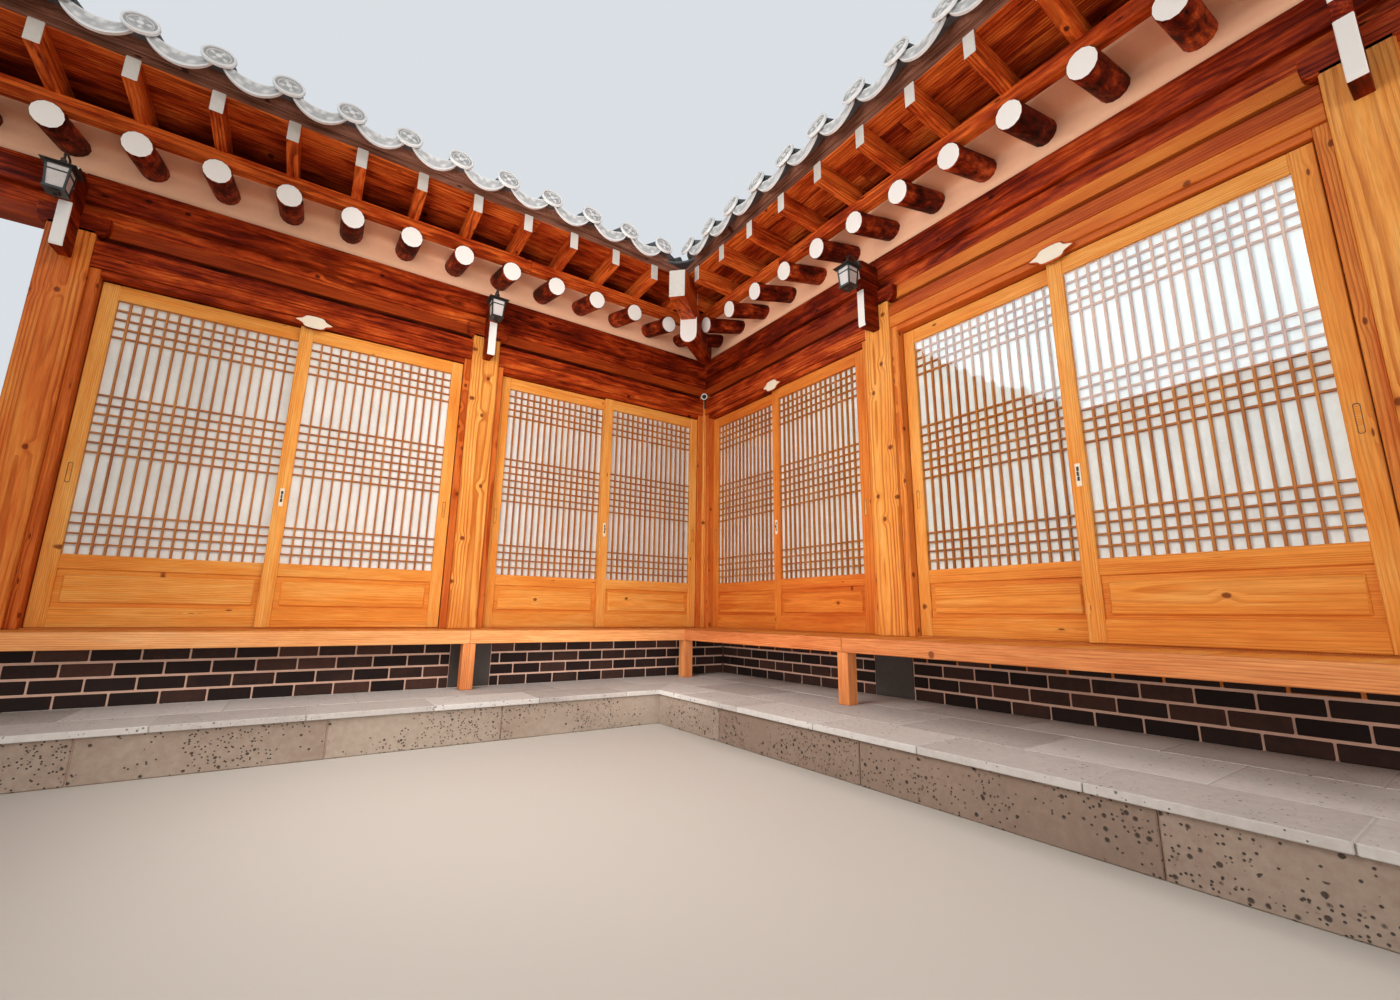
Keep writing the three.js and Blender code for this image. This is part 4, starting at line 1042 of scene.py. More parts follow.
def makeEavePlaster(wing, outer, dice):
    part = newPart(dice, wing, outer)
    lift, front, inner = eaves["plasterLift"], eaves["plasterFront"], eaves["plasterBack"]
    low, face = house["purlinTop"] - 0.002, -0.012
    foot = rafterZ(-0.08) + lift
    profile = [(inner, low), (face, low), (face, low + 0.07), (face - 0.001, foot - 0.03),
               (face - 0.012, foot - 0.004),
               (face - 0.035, foot + 0.003)] + [(y, rafterZ(y) + lift) for y in np.linspace(-0.09, front, 8)]
    back = [(y, deckUnder(y)) for y in np.linspace(front, inner, 4)]
    places = np.array(rafterPlaces(wing, outer))
    waves = [dice.uniform(0, anyTurn) for k in range(3)]
    rings = []
    for x in np.arange(wing["gable"] + 0.05, cornerReach(outer, front, inner) + 0.03, 0.026):
        near = np.min(np.abs(places - x)) - slope["rafterRadius"] * 0.75
        fillet = 0.012 * max(0.0, 1 - max(0.0, near) / 0.05) ** 2
        ring = []
        for n, (y, z) in enumerate(profile):
            wave = 0.0014 * math.sin(x * 5 + waves[0] + y * 9) + 0.001 * math.sin(x * 13 + waves[1] - y * 17)
            if n > 4:          # the soffit, drawn up to the rafters
                z -= fillet + wave
            elif n > 1:        # the face over the purlin
                y -= wave
            ring.append((x, y, z))
        rings.append(ring + [(x, y, z) for y, z in back])
    loft(part, rings)
    finishPart(part, f"{placeName(wing, outer)}_eave_plaster", "plaster", "plaster")


# Roof tiles: pans that overlap up the slope, round covers on their joints, and pale end tiles at the eave

tiles = {
    "panHalf": 0.137, "panSag": 0.05, "panThick": 0.016, "panShow": 0.135, "panLength": 0.2,
    "panBase": -0.06,
    "panSteps": 6, "coverRadius": 0.073, "coverBase": -0.012, "coverLength": 0.3, "coverSteps": 8,
    "valleyGap": 0.085, "hipGap": 0.03, "ridgeGap": 0.07, "discRadius": 0.081, "discDrop": -0.004,
    "discOut": 0.034,
    "discTilt": 0.32, "dripDepth": 0.078, "dripLean": 0.22, "lowEnd": -0.012, "bedDrop": 0.115,
    "bedFront": -0.735,
}


def rowStarts(wing, outer):
    # centres of the round tile rows, from the far corner of the slope to the gable
    pitch = wing["tilePitch"]
    last = house["span"] - house["eave"] if outer else house["ridge"]
    first = wing["tileStart"] + pitch * math.floor((last - wing["tileStart"]) / pitch)
    count = int((first - wing["gable"] - 0.06) / pitch) + 1
    return [first - k * pitch for k in range(count)]


def slopeLimit(outer, x, y):
    # keeps a point of a row on its own side of the valley or the hip
    return min(y, house["span"] - x - tiles["hipGap"]) if outer else max(y, x + tiles["valleyGap"])


def tileShell(part, outer, xs, upper, lower, rows, tone):
    # rows: (y, lift, shrink) of the cross-sections; upper and lower are heights over the roof line
    centre = (xs[0] + xs[-1]) / 2
    loop = np.array([np.concatenate([xs, xs[::-1]]), np.concatenate([upper, lower[::-1]])]).T
    rings = []
    for y, lift, shrink in rows:
        ring = []
        for x, z in loop:
            px = centre + (x - centre) * (1 - shrink)
            py = slopeLimit(outer, px, y)
            ring.append((px, py, roofTop(py) + z * (1 - shrink) + lift))
        rings.append(ring)
    rings = np.array(rings)
    if np.abs(rings[0][:, 1] - rings[-1][:, 1]).max() >= 0.03:
        loft(part, rings, tone)


def makeTiles(wing, outer):
    dice = random.Random(wing["seed"] + 600 + outer)
    name, t = placeName(wing, outer), tiles
    pans, covers, ends = [newPart(dice, wing, outer, False) for k in range(3)]
    eave, top = house["eave"], house["ridge"] - t["ridgeGap"]
    u = np.linspace(-1, 1, t["panSteps"])
    angles = np.linspace(math.pi, 0, t["coverSteps"])
    half = min(t["panHalf"], wing["tilePitch"] / 2 - 0.014)
    upper = t["panBase"] + t["panSag"] * u * u
    arch = t["coverBase"] + t["coverRadius"] * np.sin(angles)
    flat = np.full(len(angles), t["coverBase"] - 0.03)
    sink = t["panThick"] * t["panLength"] / t["panShow"]
    for x in rowStarts(wing, outer):
        # the pan column on the gable side of this row
        centre = x - wing["tilePitch"] / 2
        if centre - half > wing["gable"]:
            y = eave + t["lowEnd"]
            xs = centre + u * half + dice.uniform(-0.003, 0.003)
            while y < top:
                lift = 0.013 + dice.uniform(-0.002, 0.002)
                rows = [(y, lift, 0), (min(y + t["panLength"], top + 0.05), lift - sink, 0)]
                tileShell(pans, outer, xs, upper, upper - t["panThick"], rows,
                          0.45 + dice.uniform(-0.22, 0.22))
                y += t["panShow"] + dice.uniform(-0.004, 0.004)
            if centre < house["span"] - eave - 0.1 if outer else centre + half < eave - 0.02:
                makeDrip(ends, centre, half)
        # the covers of this row
        xs = x + t["coverRadius"] * np.cos(angles)
        y = eave - 0.006
        while y < top:
            y1 = min(y + t["coverLength"] - 0.0015, top + 0.05)
            rows = [(y, 0.0, 0.05), (y + 0.005, 0.0, 0), (y1 - 0.005, -0.001, 0.01), (y1, -0.001, 0.05)]
            tileShell(covers, outer, xs, arch, flat, rows, 0.45 + dice.uniform(-0.2, 0.25))
            y += t["coverLength"]
        if x < house["span"] - eave - 0.12 if outer else x + t["coverRadius"] < eave:
            makeDisc(ends, (x, eave - t["discOut"], roofTop(eave) + t["discDrop"]), t["discRadius"], "y")
    finishPart(pans, f"{name}_pan_tiles", "roof_tile", "roofTile",
               *([] if outer else [f"{wing['name']}_roof"]))
    finishPart(covers, f"{name}_cover_tiles", "roof_tile", "roofTile")
    finishPart(ends, f"{name}_tile_ends", "tile_end", "tileEnd")


def makeDisc(part, at, radius, facing, spokes=32):
    # a round end tile with a rim, a thin ring and a plain flower, its face turned up by the tilt;
    # facing names the axis that it looks down, backwards
    dice = part["dice"]
    turn = dice.uniform(0, anyTurn)
    cosine, sine = math.cos(tiles["discTilt"]), math.sin(tiles["discTilt"])
    face, petals = -0.009, 8
    profile = [(radius - 0.014, 0.006), (radius - 0.003, 0.004), (radius, 0.001), (radius, -0.012),
               (radius - 0.003, -0.016), (radius - 0.012, -0.016), (radius - 0.015, face),
               (radius - 0.024, face),
               (radius - 0.027, -0.0125), (radius - 0.031, face), (radius * 0.48, face),
               (radius * 0.33, face), (radius * 0.22, face), (radius * 0.17, -0.0145)]
    raised, petalRings = (0, 1, 2, 3, 4, 5, 8, 13), (10, 11)
    rings, tones = [], []
    for n, (r, depth) in enumerate(profile):
        ring = []
        for a in circle(spokes):
            lift = 0.0055 * max(0.0, math.cos(a * petals / 2)) ** 2 if n in petalRings else 0.0
            out, up, level = depth - lift, r * math.sin(a + turn), r * math.cos(a + turn)
            back, high = out * cosine + up * sine, up * cosine - out * sine
            ring.append((level, back, high) if facing == "y" else (back, level, high))
            tones.append(0.2 + 0.6 * (n in raised) + 110 * lift + dice.uniform(-0.05, 0.05))
        rings.append(ring)
    loft(part, np.array(rings) + at, [*tones, *tones[:spokes], *tones[-spokes:]], smooth=False)


def makeDrip(part, centre, half):
    # the hanging end of a pan: a crescent plate with a raised border and scrolls in low relief
    t, dice = tiles, part["dice"]
    y = house["eave"] + t["lowEnd"]
    base = roofTop(house["eave"]) + t["panBase"] + 0.006
    steps, levels = 25, 9
    count = steps * levels
    front, back, tones = [], [], []
    phase = dice.uniform(-0.3, 0.3)
    for k, m in product(range(steps), range(levels)):
        u, v = -1 + 2 * k / (steps - 1), m / (levels - 1)
        drop = t["dripDepth"] * math.sqrt(max(0.0, 1 - (0.93 * u) ** 2)) + 0.022
        inner = 1 < k < steps - 2 and 0 < m < levels - 2
        scroll = max(0.0, math.sin(abs(u) * 11 + phase) * math.sin(v * 7.5 + 0.4)) if inner else 0.0
        depth = 0.003 - 0.003 * scroll if inner else 0.0
        lean = t["dripLean"] * drop * v
        x, z = centre + u * half * 1.02, base + t["panSag"] * u * u - drop * v
        front.append((x, y - 0.014 + depth - lean, z))
        back.append((x, y + 0.004 - lean, z))
        tones.append((0.3 + 0.45 * scroll if inner else 0.8) + dice.uniform(-0.05, 0.05))
    index = np.arange(count).reshape(steps, levels)
    quads = []
    for k, m in product(range(steps - 1), range(levels - 1)):
        quad = [index[k, m], index[k + 1, m], index[k + 1, m + 1], index[k, m + 1]]
        quads += [quad, [q + count for q in quad[::-1]]]
    border = [*index[:, 0], *index[-1, 1:], *index[-2::-1, -1], *index[0, -2:0:-1]]
    quads += [[b, a, a + count, b + count] for a, b in zip(border, border[1:] + border[:1])]
    addFaces(part, front + back, [(np.array(quads), 0, False)], tones + tones)


def makeRoofBed(wing):
    # what the tiles lie on: earth and boards, in one solid
    part = newPart(None, wing)
    front, knee, ridge = tiles["bedFront"], slope["rafterInnerY"], house["ridge"]
    top = [(y, roofTop(y) - tiles["bedDrop"]) for y in (front, *np.linspace(-0.6, ridge, 9))]
    meeting = deckMeeting()
    under = [(front, flyTop(front) + 0.021), (meeting, flyTop(meeting) + 0.021),
             (knee, rafterZ(knee) + slope["deckHigh"] + 0.001), (ridge, roofUnder(ridge))]
    half = top[::-1] + under
    outline = half + [(house["span"] - y, z) for y, z in half[1:-1][::-1]]
    loft(part, [[(x, y, z) for y, z in outline] for x in (wing["gable"] + 0.03, 6.0)], smooth=False)
    finishPart(part, f"{wing['name']}_roof_bed", "roof_tile", "earth")


# Ridges: a pale mortar foot, thin tiles in courses, and a row of round tiles on top

ridges = {
    "tileLength": 0.3, "courseThick": 0.021, "mortarThick": 0.013, "plateLean": 0.12,
    "main": {"foot": -0.1, "footTop": 0.045, "half": 0.128, "courses": 5, "capRadius": 0.083, "top": 0.33},
    "hip": {"foot": -0.1, "footTop": 0.035, "half": 0.108, "courses": 4, "capRadius": 0.076, "top": 0.25},
    "verge": {"foot": -0.06, "footTop": 0.03, "half": 0.097, "courses": 3, "capRadius": 0.07, "top": 0.21},
}


def upBy(z):
    return np.array([0, 0, z])


def ridgeRun(part, path, wide, kind):
    # path: points along the foot line, wide: level direction across
    dice, f, tile, mortar = part["dice"], ridges[kind], ridges["tileLength"], ridges["mortarThick"]
    path, wide = np.array(path, float), np.array(wide, float)
    reach = np.concatenate([[0], np.cumsum(np.linalg.norm(np.diff(path, axis=0), axis=1))])
    whole = reach[-1]
    wide /= np.linalg.norm(wide)

    def at(s):
        return np.array([np.interp(s, reach, path[:, k]) for k in range(3)])

    def course(s0, s1, z0, z1, half, tone=0.5, slot=1, cut=0.0002):
        section = ((-1, z0 + 0.003), (-0.97, z0), (0.97, z0), (1, z0 + 0.003), (1, z1 - 0.003), (0.97, z1),
                   (-0.97, z1), (-1, z1 - 0.003))
        rings = [[at(s) + wide * u * (half - shrink) + upBy(z) for u, z in section]
                 for s, shrink in ((s0, cut), (s0 + cut, 0), (s1 - cut, 0), (s1, cut))]
        loft(part, rings, tone, slot, smooth=False)

    for s0, s1 in splitLengths(dice, 0, whole, 0.5, 0.7):
        course(s0, s1, f["foot"], f["footTop"], f["half"] - 0.022)
    z = f["footTop"]
    for n in range(f["courses"]):
        odd = n % 2
        half = f["half"] - 0.006 * odd
        s = 0 if odd else -tile / 2
        while s < whole:
            a, b = max(0.0, s + 0.0012), min(whole, s + tile - 0.0012)
            if b - a > 0.02:
                course(a, b, z, z + ridges["courseThick"], half + dice.uniform(-0.002, 0.002),
                       0.45 + dice.uniform(-0.2, 0.2), 0, 0.002)
            s += tile
        z += ridges["courseThick"]
        if n < f["courses"] - 1:
            course(0.004, whole - 0.004, z - 0.001, z + mortar + 0.001, half - 0.014)
            z += mortar
    radius = f["capRadius"]
    centre = f["top"] - radius
    s = 0.0
    while s < whole - 0.05:
        a, b = s + 0.001, min(whole, s + tile - 0.001)
        rings = [[at(q) + upBy(centre) + wide * r * math.cos(w) + upBy(r * math.sin(w))
                  for w in np.linspace(-0.25, math.pi + 0.25, 10)]
                 for q, r in ((a, radius - 0.004), (a + 0.005, radius), (b - 0.005, radius - 0.001),
                              (b, radius - 0.005))]
        loft(part, rings, 0.45 + dice.uniform(-0.2, 0.25))
        s += tile
    course(0.01, whole - 0.01, z - 0.001, centre + 0.01, radius * 0.72)


def endPlate(part, at, facing, wide, high):
    # the upright tile that closes a ridge: a rounded shield with a raised border
    outline = [(wide * 0.42, 0.0)]
    for a in np.arange(15) * math.pi / 14:
        outline.append((wide * 0.5 * math.cos(a), high * 0.56 + high * 0.44 * max(0.0, math.sin(a)) ** 0.8))
    outline = np.array(outline + [(-wide * 0.42, 0.0)])
    middle = np.array([0, high * 0.5])
    facing = np.array(facing, float) / np.linalg.norm(facing)
    across = np.cross([0, 0, 1], facing)
    rings, tones = [], []
    for scale, depth, tone in ((0.97, -0.035, 0.3), (1.0, -0.03, 0.4), (1.0, 0.0, 0.6), (0.97, 0.006, 0.75),
                               (0.86, 0.006, 0.7), (0.82, -0.003, 0.25), (0.5, -0.002, 0.4),
                               (0.46, 0.005, 0.65), (0.2, 0.007, 0.6)):
        rings.append([np.array(at) + across * u + facing * (depth + ridges["plateLean"] * v) + upBy(v)
                      for u, v in middle + (outline - middle) * scale])
        tones += [tone + part["dice"].uniform(-0.05, 0.05) for point in outline]
    size = len(outline)
    loft(part, rings, [*tones, *tones[:size], *tones[-size:]], 2, smooth=False)


def makeRidges(wing):
    dice = random.Random(wing["seed"] + 700)
    part = newPart(dice, wing)
    ridge, gable, eave = house["ridge"], wing["gable"], house["eave"]
    apex = roofTop(ridge)
    ridgeRun(part, [(gable + 0.02, ridge, apex), (ridge + 0.5, ridge, apex)], (0, 1, 0), "main")
    endPlate(part, (gable + 0.03, ridge, apex - 0.02), (-1, 0, 0), 0.3, 0.4)
    x = gable + 0.19
    for outer in (False, True):
        path = [(x, overRidge(y, outer), roofTop(y)) for y in np.linspace(ridge - 0.13, eave + 0.1, 12)]
        ridgeRun(part, path, (1, 0, 0), "verge")
        y = overRidge(eave + 0.09, outer)
        endPlate(part, (x, y, roofTop(y) - 0.03), (0, 1 if outer else -1, 0), 0.22, 0.27)
    finishPart(part, f"{wing['name']}_ridge_tiles", "roof_tile", "roofTile jointing tileEnd",
               f"{wing['name']}_ridge")
    makeGableTiles(wing, dice)


gableTiles = {"radius": 0.066, "discRadius": 0.068, "pitch": 0.27, "half": 0.085, "inner": 0.12}


def makeGableTiles(wing, dice):
    # short tiles across the gable edge, each with a round end
    shells, ends = newPart(dice, wing, mitre=False), newPart(dice, wing, mitre=False)
    f, gable = gableTiles, wing["gable"]
    back = gable + f["inner"]
    for outer in (False, True):
        ys = np.arange(house["eave"] + 0.2, house["ridge"] - 0.12, f["pitch"])
        way = -1 if outer else 1
        for n, y in enumerate(ys):
            z, place = roofTop(y) - 0.01, overRidge(y, outer)
            rise = (roofTop(y + 0.01) - roofTop(y)) / 0.01 * way
            rings = []
            for x, r in ((gable + 0.012, f["radius"] - 0.003), (gable + 0.016, f["radius"]),
                         (back, f["radius"])):
                rings.append([(x, place + r * math.cos(a), z + r * math.sin(a) + rise * r * math.cos(a))
                              for a in np.linspace(0, math.pi, 8)] + [(x, place, z - 0.05)])
            loft(shells, rings, 0.45 + dice.uniform(-0.2, 0.2))
            makeDisc(ends, (gable + 0.004, place, z + 0.004), f["discRadius"], "x", spokes=16)
            if n == len(ys) - 1:
                continue
            half, middle, low = f["half"], place + way * f["pitch"] / 2, roofTop(y + f["pitch"] / 2) - 0.055
            rings = []
            for x, deep in ((gable + 0.004, 0.05), (gable + 0.02, 0.016), (back, 0.016)):
                upper = [(x, middle + u * half, low + 0.022 * u * u + rise * u * half)
                         for u in np.linspace(-1, 1, 6)]
                rings.append(upper + [(x, py, pz - deep * (1 - 0.6 * abs(py - middle) / half))
                                      for x, py, pz in upper[::-1]])
            loft(shells, rings, 0.5 + dice.uniform(-0.2, 0.2), smooth=False)
    finishPart(shells, f"{wing['name']}_gable_tiles", "roof_tile", "roofTile")
    finishPart(ends, f"{wing['name']}_gable_tile_ends", "tile_end", "tileEnd")


def makeHip():
    part = newPart(random.Random(5))
    far = house["span"] - house["eave"]
    path = [(y, y, roofTop(y)) for y in np.linspace(house["ridge"] + 0.12, far - 0.08, 14)]
    ridgeRun(part, path, (1, -1, 0), "hip")
    y = far - 0.07
    endPlate(part, (y, y, roofTop(y) - 0.03), (1, 1, 0), 0.26, 0.31)
    finishPart(part, "hip_ridge_tiles", "roof_tile", "roofTile jointing tileEnd", "hip_ridge")


def makeValley():
    # the gutter of wide pans down the valley, and its end over the inner corner
    dice = random.Random(6)
    part = newPart(dice)
    y = house["eave"] - 0.02
    while y < house["ridge"] - 0.05:
        rings = []
        for at, lift in ((y, 0.014), (min(y + 0.2, house["ridge"]), -0.01)):
            base = np.array([at, at, roofTop(at) - 0.075 + lift])
            upper = [base + diagonal * u * 0.15 + upBy(0.04 * u * u) for u in np.linspace(-1, 1, 7)]
            rings.append(upper + [p - upBy(0.018) for p in upper[::-1]])
        loft(part, rings, 0.4 + dice.uniform(-0.2, 0.2))
        y += 0.12
    finishPart(part, "valley_tiles", "roof_tile", "roofTile")


# Rafters on the diagonals

diagonalFacts = {
    "chamfer": 0.004, "flyBack": -0.44, "flyTop": flyTop(-0.765) - 0.009,
    "hipInner": slope["rafterInnerY"] - 0.3,
    "logTip": -0.63, "logInner": -0.02, "logLow": 3.14, "logRadius": 0.085, "logHalf": 0.08,
}


def diagonalBlock(part, outline, width, tone, painted):
    # outline: (x and y of the diagonal, z)
    root, dice, chamfer = math.sqrt(2), part["dice"], diagonalFacts["chamfer"]
    inner = insetOutline([(s * root, z) for s, z in outline], chamfer) / (root, 1)
    rings = np.array([[np.array([s, s, z]) + diagonal * w for s, z in flat]
                      for flat, w in chamferedRings(inner, outline, about(0, width / 2), chamfer)])
    x, y, z = rings.reshape(-1, 3).T
    grain = np.stack([(x + y) / root + dice.uniform(0, 30), (x - y) / root + 0.02, z - z.mean()], 1)
    loft(part, rings, tone, paintedSlots(len(outline), 0, painted, 1), (0, 0), False, grain)


def makeDiagonals():
    dice = random.Random(8)
    valley, hip = newPart(dice), newPart(dice)
    back, top = diagonalFacts["flyBack"], diagonalFacts["flyTop"]
    makeValleyLog(valley)
    upper = [(back, top - 0.02), (-0.77, top), (-0.973, 3.552), (-0.973, 3.312), (-0.6, 3.37), (back, 3.4)]
    diagonalBlock(valley, upper, 0.135, 0.15, {2})
    finishPart(valley, "valley_rafter_timber", "stained_timber", "stained whitePaint", "valley_rafter")
    inner = diagonalFacts["hipInner"]
    lower = [(inner, deckUnder(inner) - 0.19), (-0.56, 3.14), (-0.6, 3.2), (-0.6, deckUnder(-0.6)),
             (inner, deckUnder(inner))]
    fly = [(back, 3.4), (-0.81, 3.44), (-0.84, 3.5), (-0.84, top - 0.004), (back, top - 0.02)]
    for outline, width, tone in ((lower, 0.18, 0.4), (fly, 0.15, 0.2)):
        diagonalBlock(hip, [(house["span"] - y, z) for y, z in outline], width, tone, {1, 2})
    finishPart(hip, "hip_rafter_timber", "stained_timber", "stained whitePaint", "hip_rafter")


def makeValleyLog(part):
    # the lower valley rafter has a round belly and a white end
    f = diagonalFacts
    tip, radius = f["logTip"], f["logRadius"]
    rings, grain = [], []
    for s, shrink in ((tip, 0.004), (tip + 0.003, 0.0), (-0.45, 0.0), (-0.25, 0.0), (f["logInner"], 0.0)):
        low, high = f["logLow"] + slope["rafter"] * (s - tip), deckUnder(s) - shrink
        half = f["logHalf"] - shrink
        ring = [(half, high), (-half, high)]
        for a in np.linspace(math.pi, 2 * math.pi, 9):
            ring.append((half * math.cos(a), low + radius + (radius - shrink) * math.sin(a)))
        rings.append([np.array([s, s, z]) + diagonal * w for w, z in ring])
        grain.append([(s * 1.414 + 9, w + 0.015, z - low - 0.12) for w, z in ring])
    loft(part, rings, 0.45, 0, (1, 0), False, grain)


# Veranda

maru = {
    "frontBeam": (-0.59, -0.498), "beamLow": 0.515, "boardLow": 0.565, "boardTop": 0.598,
    "bearer": (-0.12, -0.0403), "leg": 0.08, "boardWide": 0.128, "corner": -0.041,
}


def makeMaru(wing):
    dice = random.Random(wing["seed"] + 800)
    part, m = newPart(dice, wing), maru
    start = wing["end"] - house["postHalf"]
    (front, behind), bearer = m["frontBeam"], m["bearer"]
    stops = [start, house["innerPost"] - 0.06, behind]
    for ends, tone in zip(zip(stops, stops[1:]), wing["maruTones"]):
        board(part, inside(ends, 0.0005), m["frontBeam"], (m["beamLow"], house["floorTop"]), "x", 0.004,
              tone, 1)
    board(part, (start, bearer[1]), bearer, (m["beamLow"], m["boardLow"] + 0.001), "x", 0.003, 0.6)
    x = start
    while x < -0.05:
        wide = m["boardWide"] + dice.uniform(-0.014, 0.018)
        if x + wide > -0.08:
            wide = m["corner"] - x
        top = m["boardTop"] + dice.uniform(-0.0008, 0.0006)
        board(part, inside((x, x + wide), 0.001), (behind + 0.001, bearer[1]), (m["boardLow"], top), "y",
              0.002, 0.26 + dice.uniform(-0.09, 0.12))
        x += wide
    for x in (front + m["leg"], house["innerPost"] - 0.02, start + m["leg"]):
        board(part, (x - m["leg"], x), (front + 0.004, front + m["leg"] + 0.004),
              (house["terraceTop"] + hair, m["beamLow"] + 0.001), "z", 0.004,
              0.46 + dice.uniform(-0.05, 0.05), 1)
        board(part, (x - 0.07, x - 0.01), (behind, bearer[0]), (m["beamLow"] + 0.005, m["boardLow"]), "y",
              0.003, 0.6)
    finishPart(part, f"{wing['name']}_maru_boards", "pine", "pine sunned", f"{wing['name']}_maru")


# Stone base: riser stones, terrace slabs, bricks under the veranda, street footing

stone = {
    "front": 1.15, "outer": 0.56, "end": 0.45, "overhang": 0.02, "capLow": 0.1903, "joint": 0.004,
    "deep": 0.09,
    "slabStops": (-0.85, -0.412), "slabPitch": 0.58, "wallFace": -0.0105, "coreInner": 1.58, "course": 0.13,
    "core": (0.185, 0.4497), "riserLengths": (0.85, 1.15), "footLengths": (0.38, 0.6), "jointDrop": 0.0025,
}
brick = {
    "length": 0.1895, "height": 0.0635, "pitch": 0.1985, "course": 0.0762, "low": 0.2205, "courses": 4,
    "ends": (-0.39, -0.042), "joint": 0.004, "blockTop": 0.514, "backingTop": 0.511,
    "back": {"block": (-2.36, -2.09), "depth": 0.09}, "side": {"block": (-2.37, -2.077), "depth": 0.03},
}


def wallEnd(wing):
    return wing["end"] - house["postHalf"] + 0.03


def makeSlabs(part, x, y, z, lengths, along, tones=(0.35, 0.75), chamfer=0.0025):
    dice = part["dice"]
    start, end = (x if along == "x" else y)
    cuts = [start]
    while end - cuts[-1] > lengths[1] * 1.3:
        cuts.append(cuts[-1] + dice.uniform(*lengths))
    cuts.append(end)
    for ends in zip(cuts, cuts[1:]):
        span = inside(ends, stone["joint"] / 2)
        tall = (z[0], z[1] + dice.uniform(-0.0008, 0.0004))
        board(part, span if along == "x" else x, y if along == "x" else span, tall, along, chamfer,
              dice.uniform(*tones))


def makeTerrace():
    dice = random.Random(21)
    slabs, joints = both = newPart(dice), newPart(dice)
    gap, lip, face = stone["joint"], stone["overhang"], stone["wallFace"]
    z = (stone["capLow"], house["terraceTop"])
    low = (z[0], z[1] - stone["jointDrop"])
    reach = house["span"] + stone["outer"] + lip
    for wing in wings:
        far, front = wing["end"] - stone["end"] - lip, -stone["front"] - lip
        turnParts(both, wing)
        starts = (front, *(y + gap for y in stone["slabStops"]))
        for n, (y0, y1) in enumerate(zip(starts, (*stone["slabStops"], face))):
            x = -0.84 - 0.29 * (n % 2)
            stops = [y1]
            while x > far + 0.3:
                if x < y1 - 0.12:
                    stops.append(x)
                x -= stone["slabPitch"] + dice.uniform(-0.02, 0.02)
            stops.append(far)
            for ends in zip(stops[1:], stops):
                top = z[1] + dice.uniform(-0.0008, 0.0004)
                board(slabs, inside(ends, gap / 2), (y0, y1), (z[0], top), "x", 0.003,
                      dice.uniform(0.35, 0.8))
        board(joints, (far + 0.01, 0), (front + 0.01, face - hair), low, "x", 0.001)
        turnParts(both, wing, True)
        makeSlabs(slabs, (far, reach), (-stone["outer"] - lip, face), z, (0.75, 0.95), "x")
        board(joints, inside((far, reach), 0.01), (-stone["outer"] - 0.01, face - hair), low, "x", 0.001)
        turnParts(both, wing, mitre=False)
        end = (face, house["span"] - face)
        makeSlabs(slabs, (far, wallEnd(wing) - 0.0005), inside(end, gap), z, (0.7, 0.9), "y")
        board(joints, (far + 0.01, wallEnd(wing) - 0.001), end, low, "y", 0.001)
    finishPart(slabs, "terrace_slabs", "stone", "slab", "terrace_cap")
    finishPart(joints, "terrace_joints", "mortar", "jointing")


def makeRisers():
    # basalt blocks round the terrace, with a rough core behind them
    dice = random.Random(22)
    blocks, core = both = newPart(dice), newPart(dice)
    deep, gap, lengths, inner = stone["deep"], stone["joint"], stone["riserLengths"], stone["coreInner"]
    front, outer, footLengths = -stone["front"], -stone["outer"], stone["footLengths"]
    plain, dark = (0.3, 0.75), (0.3, 0.8)
    z, coreZ = (0.0, house["plinthTop"]), (0.0, house["plinthTop"] - 0.001)
    for wing in wings:
        far, edge, reach = wing["end"] - stone["end"], wallEnd(wing), house["span"] - outer
        turnParts(both, wing)
        # courtyard risers: the back wing's paler tones are painted sunlight
        makeSlabs(blocks, (far, front + deep), (front, front + deep), z, lengths, "x", wing["stoneTones"],
                  0.004)
        board(core, (far + 0.03, 3.0), (front + 0.01, inner), coreZ, "x", 0.001)
        turnParts(both, wing, True)
        makeSlabs(blocks, (far, reach), (outer, outer + deep), z, lengths, "x", plain, 0.004)
        board(core, (far + 0.03, reach - 0.02), (outer + 0.01, inner), coreZ, "x", 0.001)
        turnParts(both, wing, mitre=False)
        ends = (front + deep + gap, house["span"] - outer - deep - gap)
        makeSlabs(blocks, (far, far + deep), ends, z, lengths, "y", plain, 0.004)
        # street footing: dressed blocks in two courses
        for row in range(2):
            low = house["plinthTop"] - 0.005 + row * stone["course"]
            tall = inside((low, low + stone["course"]), gap / 2)
            turnParts([blocks], wing, True)
            makeSlabs(blocks, (edge, house["span"] + 0.01), (-0.01, 0.06), tall, footLengths, "x", dark,
                      0.006)
            turnParts([blocks], wing, mitre=False)
            makeSlabs(blocks, (edge, edge + 0.07), (0.0, house["span"]), tall, footLengths, "y", dark, 0.006)
        turnParts(both, wing, True)
        board(core, (edge + 0.004, house["span"] + 0.006), (-0.006, inner), stone["core"], "x", 0.001)
        turnParts(both, wing)
        board(core, (edge + 0.004, 3.0), (-0.009, inner), stone["core"], "x", 0.001)
    finishPart(blocks, "riser_blocks", "stone", "basalt")
    finishPart(core, "base_core", "mortar", "mortar", "stone_base")


def clipped(x0, x1, hole):
    parts = []
    if x0 < hole[0]:
        parts.append((x0, min(x1, hole[0] - brick["joint"])))
    if x1 > hole[1]:
        parts.append((max(x0, hole[1] + brick["joint"]), x1))
    return [(a, b) for a, b in parts if b - a > 0.015]


